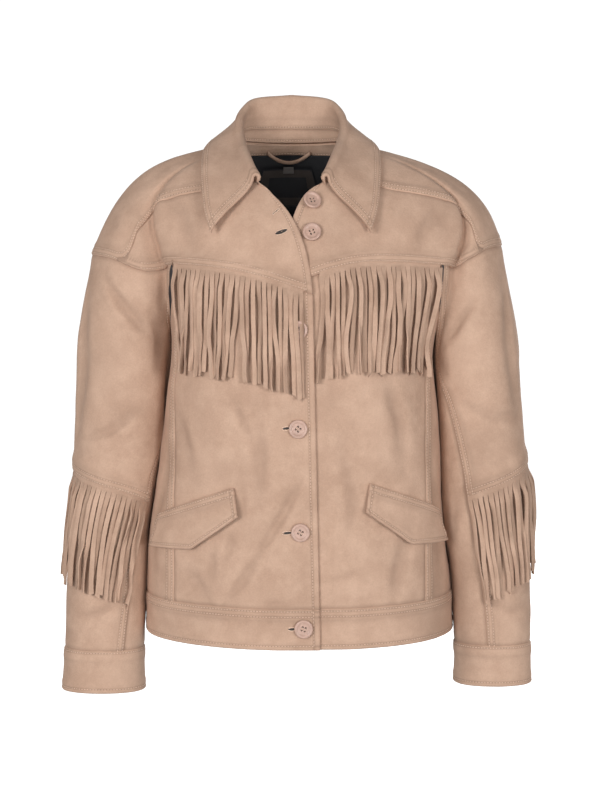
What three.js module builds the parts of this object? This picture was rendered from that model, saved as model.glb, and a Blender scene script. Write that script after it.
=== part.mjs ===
// Fringed suede jacket in its worn form, hollow, with nobody inside.
// Millimetres. +Z is up, the front faces -Y, and the wearer's right is at -X.
// The origin is level with the high points of the shoulders, in the middle of the body.
import * as THREE from 'three';

// ---------------------------------------------------------------- driving sizes
const suedeWall = 2.0;
const collarWall = 2.2;
const liningWall = 1.0;
const strapWall = 1.2;
const labelWall = 0.8;
const sizeLabelWall = 0.6;
const sizeLabelLift = 1.3;
const seamGap = 0.5;
const cornerGap = 3.6;
const layerGap = 0.5;
const fringeWall = 3.0;
const fringeStandOff = 1.3;
const hangingStandOff = 4.9;
const fringeLength = 118;
const fringeStart = { right: 0.12, left: 0.5 };
const hemBandHeight = 45;
const underlapDrop = 3.4;
const squareness = 2.6;
const sleeveSquareness = 2.2;
const yokeLine = -134;
const armholeDip = 38;
const sleeveColumns = 7;
const sleeveHub = { x: 195, z: -190 };
const sleeveLead = { x: 0.28, y: 0.12 };
const sleeveMiddle = { x: 205, y: -5 };
const collarCentre = -10;
const standShare = 0.3;
const buttonDiameter = 20.3;
const buttonThickness = 3.2;

const suede = { color: 0xcba888, roughness: 0.92, metalness: 0 };
const suedeTrim = { color: 0xc19d7c, roughness: 0.92, metalness: 0 };
const lining = { color: 0x17161a, roughness: 0.6, metalness: 0 };
const label = { color: 0x6b5f58, roughness: 0.7, metalness: 0 };
const horn = { color: 0xc4a28f, roughness: 0.35, metalness: 0 };

// Body sections from armpit to hem: half widths on each side, depth to the front and to the back.
const bodySections = [
  { z: -560, right: 175, left: 170, front: 116, back: 107 },
  { z: -500, right: 173, left: 170, front: 117, back: 104 },
  { z: -435, right: 168, left: 161, front: 118, back: 101 },
  { z: -380, right: 158.5, left: 156.5, front: 119, back: 99 },
  { z: -320, right: 149.5, left: 153, front: 121, back: 98 },
  { z: -285, right: 148, left: 150, front: 122, back: 99 },
  { z: -245, right: 142, left: 145, front: 122, back: 102 },
  { z: -172, right: 136, left: 145, front: 117, back: 106 },
  { z: -134, right: 142, left: 153, front: 112, back: 106 },
  { z: -90, right: 142, left: 153, front: 108, back: 108 },
];

// The upper body is a row of lines that climb from the lower edge of the yokes to the neck seam.
// Each has its low end, two points that bend it and its end at the neck.
const wearersRight = [
  { low: [13.5, -117, -166], bendLow: [8, -114, -100], bendHigh: [-12, -97, -66], neck: [-46, -76, -46] },
  { low: [-64, -109, -143], bendLow: [-64, -108, -105], bendHigh: [-64, -86, -50], neck: [-60, -52, -24] },
  { low: [-139, -73, -134], bendLow: [-143, -80, -112], bendHigh: [-194, -53, -44], neck: [-73, -22, -4] },
  { low: [-151, -52, -138], bendLow: [-158, -58, -108], bendHigh: [-203, -44, -42], neck: [-76, -12, 1] },
  { low: [-174, -65, -140], bendLow: [-186, -66, -100], bendHigh: [-196, -40, -35], neck: [-77, -6, 3] },
  { low: [-212, -51, -126], bendLow: [-208, -50, -78], bendHigh: [-182, -25, -22], neck: [-77, -1, 5] },
  { low: [-238, -5, -121], bendLow: [-203, -5, -24], bendHigh: [-165, -2, -11], neck: [-77, 5, 7] },
  { low: [-214, 48, -125], bendLow: [-206, 48, -76], bendHigh: [-178, 26, -22], neck: [-76, 16, 8] },
  { low: [-174, 71, -138], bendLow: [-174, 74, -96], bendHigh: [-160, 50, -32], neck: [-71, 28, 9] },
  { low: [-139, 76, -136], bendLow: [-138, 82, -100], bendHigh: [-128, 64, -32], neck: [-62, 38, 10] },
  { low: [-72, 100, -134], bendLow: [-72, 105, -95], bendHigh: [-64, 88, -26], neck: [-42, 52, 10] },
];
const centreBack = {
  low: [-4, 106, -134],
  bendLow: [-4, 110, -95],
  bendHigh: [-8, 92, -22],
  neck: [-10, 60, 10],
};
const wearersLeft = [
  { low: [-20, -112, -158], bendLow: [-16, -103, -88], bendHigh: [2, -86, -42], neck: [27, -74, -47] },
  { low: [62, -108, -134], bendLow: [62, -106, -98], bendHigh: [52, -84, -48], neck: [41, -52, -24] },
  { low: [156, -70, -134], bendLow: [166, -79, -108], bendHigh: [213, -53, -46], neck: [53, -22, -4] },
  { low: [169, -53, -137], bendLow: [181, -58, -106], bendHigh: [214, -46, -42], neck: [56, -12, 1] },
  { low: [186, -62, -128], bendLow: [196, -64, -92], bendHigh: [205, -40, -36], neck: [57, -6, 3] },
  { low: [208, -50, -116], bendLow: [208, -48, -72], bendHigh: [188, -25, -28], neck: [57, -1, 5] },
  { low: [230, -5, -111], bendLow: [212, -5, -38], bendHigh: [168, -2, -20], neck: [57, 5, 7] },
  { low: [212, 46, -116], bendLow: [208, 46, -72], bendHigh: [178, 26, -28], neck: [56, 16, 8] },
  { low: [180, 70, -132], bendLow: [178, 73, -92], bendHigh: [158, 50, -34], neck: [51, 28, 9] },
  { low: [152, 76, -136], bendLow: [148, 82, -100], bendHigh: [122, 64, -34], neck: [42, 38, 10] },
  { low: [74, 100, -134], bendLow: [72, 105, -95], bendHigh: [50, 88, -26], neck: [22, 52, 10] },
];
const climbingLines = [...wearersRight, centreBack, ...wearersLeft.reverse()];
const foldColumn = 2;
const capSeamColumn = 4.5;
const backSeamColumn = 9;
const centreBackColumn = 11;
const lastColumn = 22;

// Angle round the sleeve at which each line from fold to back seam lands, from its front outwards.
const sleeveAngles = [-45, -25, 0, 42, 90, 138, 180, 222];

// The forward shoulder seam: its share of the way up each line.
const shoulderSeam = [
  { column: 0.667, share: 0.97 },
  { column: 1.5, share: 0.68 },
  { column: 2, share: 0.6 },
  { column: 3, share: 0.5 },
  { column: 4, share: 0.32 },
  { column: 4.5, share: 0.04 },
];

// Sleeve sections: middle, half width, half depth.
const rightSleeve = [
  { z: -614, x: -223.8, y: -32, wide: 47.5, deep: 34 },
  { z: -566, x: -222.8, y: -28, wide: 45.2, deep: 38 },
  { z: -500, x: -221, y: -20, wide: 46, deep: 47 },
  { z: -440, x: -217, y: -14, wide: 46, deep: 53 },
  { z: -385, x: -210.5, y: -9, wide: 48, deep: 58 },
  { z: -334, x: -205.8, y: -5, wide: 51.8, deep: 62 },
  { z: -245, x: -201, y: -2, wide: 54, deep: 64 },
];
const leftSleeve = [
  { z: -606, x: 219, y: -32, wide: 44.5, deep: 34 },
  { z: -560, x: 218.5, y: -28, wide: 43, deep: 38 },
  { z: -520, x: 218.5, y: -22, wide: 44.5, deep: 44 },
  { z: -475, x: 216.5, y: -17, wide: 46, deep: 50 },
  { z: -440, x: 213, y: -13, wide: 50, deep: 53 },
  { z: -400, x: 210.5, y: -9, wide: 51.5, deep: 57 },
  { z: -334, x: 207, y: -5, wide: 50, deep: 62 },
  { z: -245, x: 199.5, y: -2, wide: 51, deep: 64 },
];

// Angle of the front sleeve seam on its way from the armhole to the cuff.
const rightSleeveSeam = [
  { z: -614, angle: -35 },
  { z: -450, angle: -43 },
  { z: -375, angle: -54 },
  { z: -320, angle: -75 },
  { z: -270, angle: -90 },
  { z: -200, angle: -72 },
  { z: -134, angle: -45 },
];
const leftSleeveSeam = [
  { z: -606, angle: -10 },
  { z: -500, angle: -16 },
  { z: -400, angle: -23 },
  { z: -334, angle: -31 },
  { z: -290, angle: -40 },
  { z: -238, angle: -58 },
  { z: -134, angle: -45 },
];

// Sleeve fringe seam: height at the inner front, at the front, at the outer side and behind.
const rightChevron = [
  { angle: -60, z: -403 },
  { angle: 0, z: -383 },
  { angle: 90, z: -365 },
  { angle: 180, z: -383 },
  { angle: 235, z: -398 },
];
const leftChevron = [
  { angle: -60, z: -408 },
  { angle: 0, z: -385 },
  { angle: 90, z: -357 },
  { angle: 180, z: -383 },
  { angle: 235, z: -398 },
];

// Collar: where the roll line and the outer edge stand, sideways from the collar's middle line.
// "fromBack" counts columns from the centre back.
const collarSections = [
  { fromBack: 0, rollX: 0, rollY: 54, rollZ: 66, edgeX: 0, edgeY: 90, edgeZ: -1 },
  { fromBack: 1.5, rollX: 40, rollY: 44, rollZ: 61, edgeX: 62, edgeY: 75, edgeZ: 1 },
  { fromBack: 3, rollX: 54, rollY: 28, rollZ: 50, edgeX: 86, edgeY: 50, edgeZ: 5 },
  { fromBack: 6, rollX: 60, rollY: 0, rollZ: 29, edgeX: 98, edgeY: -2, edgeZ: 0 },
  { fromBack: 9, rollX: 56, rollY: -28, rollZ: 6, edgeX: 100, edgeY: -46, edgeZ: -24 },
  { fromBack: 9.8, rollX: 50, rollY: -55, rollZ: -10, edgeX: 98, edgeY: -73, edgeZ: -50 },
  { fromBack: 10.4, rollX: 44, rollY: -74, rollZ: -24, edgeX: 94, edgeY: -93, edgeZ: -76 },
  { fromBack: 11, rollX: 38, rollY: -85, rollZ: -36, edgeX: 87, edgeY: -107, edgeZ: -99 },
];
const rollRadius = 4;
const leafBelly = 6;
const footLift = 2.4;

// Pocket flap corners, along the cloth from its front top corner and down.
const flapTop = [
  { share: 0, along: 0, down: 0 },
  { share: 1, along: 100, down: 34 },
];
const flapCorner = { right: { x: -72, z: -377 }, left: { x: 75.5, z: -372 } };
const flapStandOff = { top: 1.2, bottom: 5.7 };
const flapBottom = [
  { share: 0, along: -5, down: 31 },
  { share: 0.45, along: 47, down: 68 },
  { share: 1, along: 108, down: 70 },
];

// Buttons down the front. The top two lie on the left yoke, the others on the lapping right front.
const yokeButtons = [
  { column: 21.75, share: 0.575, lean: 20 },
  { column: 21.62, share: 0.31, lean: 0 },
];
const frontButtons = [
  { x: -2, z: -205 },
  { x: -2, z: -312 },
  { x: 0.5, z: -425 },
  { x: 4, z: -531 },
];

// What hangs and lies inside the back neck: columns and shares of the climbing lines.
const loopEnds = { from: 10.2, to: 11.6, share: 0.955, sag: 0.085, width: 0.03, hang: 3 };
const neckLabelPlace = { from: 10.2, to: 11.5, low: 0.5, high: 0.79 };
const sizeLabelPlace = { from: 10.75, to: 11.02, low: 0.755, high: 0.81 };
const facingShare = 0.9;

// ---------------------------------------------------------------- small helpers
const rad = (degrees) => (degrees * Math.PI) / 180;
const clamp01 = (value) => Math.min(1, Math.max(0, value));
const mix = (a, b, share) => a + (b - a) * share;
const smooth = (value) => clamp01(value) ** 2 * (3 - 2 * clamp01(value));
const vector = (triple) => new THREE.Vector3(...triple);

function steps(from, to, count) {
  return Array.from({ length: count + 1 }, (_, i) => mix(from, to, i / count));
}

// Smooth curve through a table, read at any place between its rows.
function readTable(rows, key, column, at) {
  const ordered = rows[0][key] < rows[rows.length - 1][key] ? rows : [...rows].reverse();
  const last = ordered.length - 1;
  const place = Math.min(Math.max(at, ordered[0][key]), ordered[last][key]);
  let i = 0;
  while (i < last - 1 && ordered[i + 1][key] < place) i += 1;
  const slope = (k) => {
    const before = ordered[Math.max(k - 1, 0)];
    const after = ordered[Math.min(k + 1, last)];
    return (after[column] - before[column]) / (after[key] - before[key]);
  };
  const span = ordered[i + 1][key] - ordered[i][key];
  const s = (place - ordered[i][key]) / span;
  const a = ordered[i][column];
  const b = ordered[i + 1][column];
  const hermite = a * (1 + 2 * s) * (1 - s) ** 2 + b * s * s * (3 - 2 * s);
  return hermite + span * (slope(i) * s * (1 - s) ** 2 - slope(i + 1) * s * s * (1 - s));
}

function throughPoints(points, at) {
  const last = points.length - 1;
  const i = Math.min(Math.max(Math.floor(at), 0), last - 1);
  const s = at - i;
  const a = points[i];
  const b = points[i + 1];
  const before = points[Math.max(i - 1, 0)];
  const after = points[Math.min(i + 2, last)];
  const out = new THREE.Vector3();
  for (const axis of ['x', 'y', 'z']) {
    const startSlope = (b[axis] - before[axis]) / (i > 0 ? 2 : 1);
    const endSlope = (after[axis] - a[axis]) / (i + 2 <= last ? 2 : 1);
    out[axis] = a[axis] * (1 + 2 * s) * (1 - s) ** 2 + b[axis] * s * s * (3 - 2 * s)
      + startSlope * s * (1 - s) ** 2 - endSlope * s * s * (1 - s);
  }
  return out;
}

function bezier(a, b, c, d, t) {
  const r = 1 - t;
  return new THREE.Vector3()
    .addScaledVector(a, r * r * r)
    .addScaledVector(b, 3 * r * r * t)
    .addScaledVector(c, 3 * r * t * t)
    .addScaledVector(d, t * t * t);
}

function superellipse(angle, sideways, forwards, power) {
  const s = Math.sin(angle);
  const c = Math.cos(angle);
  const reach = (Math.abs(s / sideways) ** power + Math.abs(c / forwards) ** power) ** (-1 / power);
  return [reach * s, -reach * c];
}

// ---------------------------------------------------------------- the body's surface
function bodySection(angle, z) {
  const side = Math.sin(angle) < 0 ? 'right' : 'left';
  const face = Math.cos(angle) > 0 ? 'front' : 'back';
  const halfWidth = readTable(bodySections, 'z', side, z);
  const depth = readTable(bodySections, 'z', face, z);
  const [x, y] = superellipse(angle, halfWidth, depth, squareness);
  return new THREE.Vector3(x, y, z);
}

function hemHeight(angle) {
  const c = Math.cos(angle);
  return -546 - (c > 0 ? 9 : 1.5) * c;
}

const column = (name) => climbingLines.map((line) => vector(line[name]));
const lowPoints = column('low');
const bendLowPoints = column('bendLow');
const bendHighPoints = column('bendHigh');
const neckPoints = column('neck');

function upperBody(at, share) {
  const lines = [lowPoints, bendLowPoints, bendHighPoints, neckPoints];
  return bezier(...lines.map((points) => throughPoints(points, at)), share);
}

function frontEdgeX(z) {
  return mix(13.5, 22, clamp01((-166 - z) / 380));
}

// Angle of a cutting line that stays a set way out, or just inside a narrower section.
function angleAtX(x, z) {
  const halfWidth = readTable(bodySections, 'z', x < 0 ? 'right' : 'left', z);
  const depth = readTable(bodySections, 'z', 'front', z);
  const out = Math.min(Math.abs(x), 0.93 * halfWidth);
  const y = depth * (1 - (out / halfWidth) ** squareness) ** (1 / squareness);
  return Math.sign(x) * Math.atan2(out, y);
}

// Angle of each column of the fronts and the back at a height.
function columnAngle(at, z) {
  if (at <= foldColumn) return mix(angleAtX(frontEdgeX(z), z), angleAtX(-140, z), at / foldColumn);
  if (at >= lastColumn - foldColumn) {
    return mix(angleAtX(-20, z), angleAtX(140, z), (lastColumn - at) / foldColumn);
  }
  return mix(rad(-118), rad(-242), (at - backSeamColumn) / 4);
}

const blendDepth = 110;
const bandTop = -510;

function lowerBodyAt(at, z) {
  const top = throughPoints(lowPoints, at);
  const wanted = top.clone().sub(bodySection(columnAngle(at, top.z), top.z));
  const point = bodySection(columnAngle(at, z), z);
  return point.addScaledVector(wanted, smooth((z - (top.z - blendDepth)) / blendDepth));
}

// The left front lies under the right one where they lap.
function lapDrop(point) {
  const lapped = smooth((62 - point.x) / 34);
  return point.add(new THREE.Vector3(0, underlapDrop * lapped, 0));
}

function lowerBody(at, share) {
  const top = throughPoints(lowPoints, at).z;
  const bottom = hemHeight(columnAngle(at, bandTop)) + hemBandHeight;
  const point = lowerBodyAt(at, mix(top, bottom, share));
  if (at < lastColumn - foldColumn) return point;
  return point.lerp(lapDrop(point.clone()), smooth(share * 8));
}

// Side panels run between the front and back seams, up to the armhole.
const frontSeam = (side) => (side < 0 ? foldColumn : lastColumn - foldColumn);
const backSeam = (side) => (side < 0 ? backSeamColumn : lastColumn - backSeamColumn);

function sideAngle(side, across, z) {
  const backAngle = columnAngle(backSeam(side), z) + (side < 0 ? 0 : 2 * Math.PI);
  return mix(columnAngle(frontSeam(side), z), backAngle, across);
}

function sidePanelAt(side, across, z) {
  const shift = (at, angle) => {
    const highest = throughPoints(lowPoints, at).z;
    return lowerBodyAt(at, Math.min(z, highest)).setZ(z).sub(bodySection(angle, z));
  };
  const frontShift = shift(frontSeam(side), sideAngle(side, 0, z));
  const backShift = shift(backSeam(side), sideAngle(side, 1, z));
  return bodySection(sideAngle(side, across, z), z).add(frontShift.lerp(backShift, across));
}

function armholeHeight(side, across) {
  const front = throughPoints(lowPoints, frontSeam(side)).z;
  const back = throughPoints(lowPoints, backSeam(side)).z;
  return mix(front, back, across) - armholeDip * Math.sin(Math.PI * clamp01(across)) ** 0.8;
}

function sidePanel(side, across, share) {
  const bottom = hemHeight(sideAngle(side, across, bandTop)) + hemBandHeight;
  return sidePanelAt(side, across, mix(armholeHeight(side, across), bottom, share));
}

function bodyNormal(angle, z) {
  const step = 1e-4;
  const along = bodySection(angle + step, z).sub(bodySection(angle - step, z));
  return along.cross(new THREE.Vector3(0, 0, 1)).normalize();
}

// ---------------------------------------------------------------- the sleeves' surface
function sleeveSection(side, angle, z) {
  const table = side < 0 ? rightSleeve : leftSleeve;
  const value = (name) => readTable(table, 'z', name, z);
  const [x, y] = superellipse(angle, value('wide'), value('deep'), sleeveSquareness);
  return new THREE.Vector3(value('x') + side * x, value('y') + y, z);
}

const fullSleeveZ = -245;

function seamAngle(side, z) {
  return rad(readTable(side < 0 ? rightSleeveSeam : leftSleeveSeam, 'z', 'angle', z));
}

// Angle of a column of the top sleeve (0 to 7 from its front seam to its back seam).
function topSleeveAngle(side, at, z) {
  const knots = sleeveAngles.map((angle, place) => ({ place, angle }));
  const share = (rad(readTable(knots, 'place', 'angle', at)) - rad(-45)) / rad(267);
  return mix(seamAngle(side, z), rad(222), share);
}

function underSleeveAngle(side, across, z) {
  return mix(seamAngle(side, z) + 2 * Math.PI, rad(222), across);
}

// The sleeve leaves the armhole line by a seam's gap, and by more where four pieces meet.
function fromArmhole(side, start, angle, z, topZ, toCorner) {
  const lead = sleeveSection(side, angle(fullSleeveZ), fullSleeveZ);
  const hub = new THREE.Vector3(side * sleeveHub.x, 0, sleeveHub.z);
  const gap = mix(cornerGap, seamGap, clamp01(toCorner));
  const from = start.clone().add(hub.sub(start).setLength(gap));
  if (z <= fullSleeveZ) return sleeveSection(side, angle(z), z);
  const share = (topZ - z) / (topZ - fullSleeveZ);
  const drop = (topZ - fullSleeveZ) / 3;
  const reach = lead.clone().sub(from);
  const nearTop = from.clone().add(new THREE.Vector3(reach.x * sleeveLead.x, reach.y * sleeveLead.y, -drop));
  const nearFull = lead.clone().add(new THREE.Vector3(0, 0, drop));
  return bezier(from, nearTop, nearFull, lead, share);
}

function chevron(side, angle) {
  return readTable(side < 0 ? rightChevron : leftChevron, 'angle', 'z', (angle * 180) / Math.PI);
}

function topSleeve(side, at, z) {
  const start = throughPoints(lowPoints, frontSeam(side) - side * at);
  const toCorner = Math.min(at, sleeveColumns - at) / 0.5;
  return fromArmhole(side, start, (level) => topSleeveAngle(side, at, level), z, start.z, toCorner);
}

function underSleeve(side, across, z) {
  const start = sidePanel(side, across, 0);
  const toCorner = Math.min(across, 1 - across) * 6;
  return fromArmhole(side, start, (level) => underSleeveAngle(side, across, level), z, start.z, toCorner);
}

const cuffTop = (side) => (side < 0 ? -566 : -560);
const cuffBottom = (side) => (side < 0 ? -614 : -606);
const elbow = -385;
const seamTurnZ = -200;

// Height of a row of the sleeve: rows 0 to 8 reach the fringe seam, rows 8 to 14 the cuff.
const seamRow = 8;
const cuffRow = 14;

function rowHeight(side, row, top, seam) {
  if (row <= seamRow) return mix(top, seam, row / seamRow);
  return mix(seam, cuffTop(side), (row - seamRow) / (cuffRow - seamRow));
}

function topSleevePoint(side, at, row) {
  const top = throughPoints(lowPoints, frontSeam(side) - side * at).z;
  const seam = chevron(side, topSleeveAngle(side, at, elbow));
  return topSleeve(side, at, rowHeight(side, row, top, seam));
}

function underSleevePoint(side, across, row) {
  const frontEnd = chevron(side, topSleeveAngle(side, 0, elbow));
  const backEnd = chevron(side, topSleeveAngle(side, sleeveColumns, elbow));
  const top = armholeHeight(side, across);
  return underSleeve(side, across, rowHeight(side, row, top, mix(frontEnd, backEnd, across)));
}

function sleeveNormal(side, angle, z) {
  const step = 1e-4;
  const along = sleeveSection(1, angle + step, z).sub(sleeveSection(1, angle - step, z));
  const out = along.cross(new THREE.Vector3(0, 0, 1)).normalize();
  return out.setX(out.x * side);
}

// At the sleeve's own seams the wall turns from the yoke's direction into the sleeve's.
function sleeveSeamNormal(side, at, z) {
  const fromYoke = upperNormal(frontSeam(side) - side * at, 0.01);
  const ownNormal = sleeveNormal(side, topSleeveAngle(side, at, z), z);
  return ownNormal.lerp(fromYoke, smooth((z - seamTurnZ) / 60)).normalize();
}

// ---------------------------------------------------------------- closed walls
function normalAt(surface, u, v) {
  const step = 1e-3;
  const alongU = surface(u + step, v).sub(surface(u - step, v));
  const alongV = surface(u, v + step).sub(surface(u, v - step));
  return alongU.cross(alongV).normalize();
}

// A wall of cloth over a grid of a surface, between "out" beyond it and "into" behind it.
// "facing" tells which side is outside, and "edgeNormal" squares the two side edges to a neighbour's.
function wall(surface, us, vs, options) {
  const { out = 0, into = suedeWall, facing, trim = seamGap / 2, ring = false, normal, edgeNormal } = options;
  const middleU = us[Math.floor(us.length / 2)];
  const middleV = vs[Math.floor(vs.length / 2)];
  const rows = vs.length;
  const columns = us.length;
  const grid = us.map((u) => vs.map((v) => surface(u, v)));
  const outwards = facing && facing(surface(middleU, middleV));
  const sense = facing && normalAt(surface, middleU, middleV).dot(outwards) < 0 ? -1 : 1;
  const own = (u, v) => normalAt(surface, ring ? u : mix(u, middleU, 2e-3), mix(v, middleV, 2e-3));
  const normals = us.map((u, i) => vs.map((v) => {
    if (normal) return normal(u, v);
    if (edgeNormal && (i === 0 || i === columns - 1)) return edgeNormal(u, v);
    return own(u, v).multiplyScalar(sense);
  }));
  const pull = (point, next) => point.add(next.clone().sub(point).setLength(trim));
  for (let i = 0; i < columns; i += 1) {
    pull(grid[i][0], grid[i][1]);
    pull(grid[i][rows - 1], grid[i][rows - 2]);
  }
  if (!ring) {
    for (let j = 0; j < rows; j += 1) {
      pull(grid[0][j], grid[1][j]);
      pull(grid[columns - 1][j], grid[columns - 2][j]);
    }
  }
  const positions = [];
  for (const offset of [out, -into]) {
    for (let i = 0; i < columns; i += 1) {
      for (let j = 0; j < rows; j += 1) {
        positions.push(...grid[i][j].clone().addScaledVector(normals[i][j], offset).toArray());
      }
    }
  }
  const layer = columns * rows;
  const at = (side, i, j) => side * layer + (i % columns) * rows + j;
  const faces = [];
  const quad = (a, b, c, d) => faces.push(a, b, c, a, c, d);
  const lastI = ring ? columns : columns - 1;
  for (let i = 0; i < lastI; i += 1) {
    for (let j = 0; j < rows - 1; j += 1) {
      quad(at(0, i, j), at(0, i + 1, j), at(0, i + 1, j + 1), at(0, i, j + 1));
      quad(at(1, i, j), at(1, i, j + 1), at(1, i + 1, j + 1), at(1, i + 1, j));
    }
    quad(at(0, i, 0), at(1, i, 0), at(1, i + 1, 0), at(0, i + 1, 0));
    quad(at(0, i, rows - 1), at(0, i + 1, rows - 1), at(1, i + 1, rows - 1), at(1, i, rows - 1));
  }
  if (!ring) {
    for (let j = 0; j < rows - 1; j += 1) {
      quad(at(0, 0, j), at(0, 0, j + 1), at(1, 0, j + 1), at(1, 0, j));
      const end = columns - 1;
      quad(at(0, end, j), at(1, end, j), at(1, end, j + 1), at(0, end, j + 1));
    }
  }
  return facingOut(positions, faces);
}

function facingOut(positions, faces) {
  const corner = (index) => new THREE.Vector3().fromArray(positions, index * 3);
  let volume = 0;
  for (let f = 0; f < faces.length; f += 3) {
    volume += corner(faces[f]).dot(corner(faces[f + 1]).cross(corner(faces[f + 2])));
  }
  if (volume < 0) faces.reverse();
  const geometry = new THREE.BufferGeometry();
  geometry.setAttribute('position', new THREE.Float32BufferAttribute(positions, 3));
  geometry.setIndex(faces);
  geometry.computeVertexNormals();
  return geometry;
}

// ---------------------------------------------------------------- what lies on the body and in the neck
function upperNormal(at, share) {
  const step = 1e-3;
  const across = upperBody(at + step, share).sub(upperBody(at - step, share));
  const up = upperBody(at, share + step).sub(upperBody(at, share - step));
  return up.cross(across).normalize();
}

function insideNeck(at, share, depth) {
  return upperBody(at, share).addScaledVector(upperNormal(at, share), -depth);
}

// Collar: turn 0 to 1 is the stand, 1 to 2 the roll, 2 to 3 the leaf. "fromBack" is negative on the right.
function collar(fromBack, turn) {
  const side = Math.sign(fromBack) || 1;
  const read = (name) => readTable(collarSections, 'fromBack', name, Math.abs(fromBack));
  const roll = new THREE.Vector3(collarCentre + side * read('rollX'), read('rollY'), read('rollZ'));
  const edge = new THREE.Vector3(collarCentre + side * read('edgeX'), read('edgeY'), read('edgeZ'));
  const at = centreBackColumn + fromBack;
  const out = edge.clone().sub(roll).setZ(0).normalize();
  const rollIn = roll.clone().addScaledVector(out, -rollRadius).add(new THREE.Vector3(0, 0, -rollRadius));
  const neckEdge = throughPoints(neckPoints, at).addScaledVector(upperNormal(at, 0.97), -suedeWall / 2);
  const foot = neckEdge.clone().add(rollIn.clone().sub(neckEdge).setLength(footLift));
  const rollOut = roll.clone().addScaledVector(out, rollRadius).add(new THREE.Vector3(0, 0, -rollRadius));
  if (turn <= 1) return foot.lerp(rollIn, turn);
  if (turn <= 2) {
    const middle = rollIn.clone().lerp(rollOut, 0.5);
    const swing = Math.PI * (turn - 1);
    const height = middle.z + Math.sin(swing) * rollRadius;
    return middle.addScaledVector(out, -Math.cos(swing) * rollRadius).setZ(height);
  }
  const reach = edge.clone().sub(rollOut);
  const belly = out.clone().multiplyScalar(-reach.z).setZ(Math.hypot(reach.x, reach.y)).setLength(leafBelly);
  const first = rollOut.clone().add(new THREE.Vector3(0, 0, reach.z * 0.3)).addScaledVector(out, 2);
  const second = edge.clone().addScaledVector(reach, -0.35).add(belly);
  return bezier(rollOut, first, second, edge, turn - 2);
}

function atArc(side, x, z, arc) {
  const parts = 16;
  let angle = angleAtX(x, z);
  for (let i = 0; i < parts; i += 1) {
    const speed = bodySection(angle + 1e-3, z).sub(bodySection(angle - 1e-3, z)).length() / 2e-3;
    angle += (side * arc) / parts / speed;
  }
  return bodySection(angle, z);
}

function flapPoint(side, corner, share, down) {
  const along = mix(readTable(flapTop, 'share', 'along', share), straight(flapBottom, 'along', share), down);
  const drop = mix(readTable(flapTop, 'share', 'down', share), straight(flapBottom, 'down', share), down);
  const point = atArc(side, corner.x, corner.z - drop, along);
  const angle = Math.atan2(point.x, -point.y);
  return point.addScaledVector(bodyNormal(angle, point.z), mix(flapStandOff.top, flapStandOff.bottom, down));
}

function straight(rows, name, at) {
  const i = at < rows[1].share ? 0 : rows.length - 2;
  return mix(rows[i][name], rows[i + 1][name], (at - rows[i].share) / (rows[i + 1].share - rows[i].share));
}

function chestFringe(at, share) {
  const top = throughPoints(lowPoints, at).z;
  const bottom = hemHeight(columnAngle(at, bandTop)) + hemBandHeight;
  const place = (share * fringeLength) / (top - bottom);
  const angle = columnAngle(at, mix(top, bottom, place));
  const off = mix(fringeStandOff, hangingStandOff, smooth(share * 3));
  return lowerBody(at, place).addScaledVector(bodyNormal(angle, top), off);
}

function buttonShape() {
  const r = buttonDiameter / 2;
  const profile = [
    [0, 0],
    [r - 1.5, 0],
    [r, 1.2],
    [r, 2.2],
    [r - 1, buttonThickness],
    [r - 3, buttonThickness - 1],
    [0, buttonThickness - 1],
  ];
  return new THREE.LatheGeometry(profile.map(([x, y]) => new THREE.Vector2(x, y)), 20);
}

// ---------------------------------------------------------------- the jacket
const jacket = new THREE.Group();
jacket.name = 'fringed_suede_jacket';

function sew(name, geometry, finish, group = jacket) {
  const piece = new THREE.Mesh(geometry, new THREE.MeshStandardMaterial(finish));
  piece.name = name;
  group.add(piece);
  return piece;
}

function group() {
  const held = new THREE.Group();
  jacket.add(held);
  return held;
}

const fromMiddle = (point) => new THREE.Vector3(point.x, point.y, 0);
const frontColumns = steps(0, foldColumn, 6);
const capColumns = steps(foldColumn, backSeamColumn, 14);
const backColumns = steps(backSeamColumn, lastColumn - backSeamColumn, 8);
const mirrored = (columns) => columns.map((at) => lastColumn - at);
const sides = [
  { name: 'right', side: -1 },
  { name: 'left', side: 1 },
];

function seamShare(at) {
  const fromEdge = Math.min(at, lastColumn - at);
  if (fromEdge < shoulderSeam[0].column - 1e-6) return 1;
  if (fromEdge >= capSeamColumn) return 0;
  return readTable(shoulderSeam, 'column', 'share', fromEdge);
}

const yokes = group();
const leastShare = 0.04;
const backYokeShares = [0, 0.2, 0.4, 0.6, 0.8, 0.9, 1];
for (const { name, side } of sides) {
  const near = [...frontColumns, ...capColumns.filter((at) => at > foldColumn && at <= capSeamColumn)];
  const columns = side < 0 ? near : mirrored(near).reverse();
  const topShare = (at) => Math.max(seamShare(at), leastShare);
  const surface = (at, share) => upperBody(at, share * topShare(at));
  const normal = (at, share) => upperNormal(at, share * topShare(at));
  sew(`front_yoke_${name}`, wall(surface, columns, steps(0, 1, 7), { normal }), suede, yokes);
}
{
  const half = [...frontColumns.slice(2), ...capColumns.slice(1), ...backColumns.slice(1, 5)];
  const columns = [...half, ...mirrored(half).reverse().slice(1)];
  const isFront = (at) => Math.min(at, lastColumn - at) <= capSeamColumn;
  const lowShare = (at) => (isFront(at) ? Math.max(seamShare(at), leastShare) : 0);
  const surface = (at, share) => upperBody(at, mix(lowShare(at), 1, share));
  const normal = (at, share) => upperNormal(at, mix(lowShare(at), 1, share));
  sew('yoke_back', wall(surface, columns, backYokeShares, { normal }), suede, yokes);
}

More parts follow.
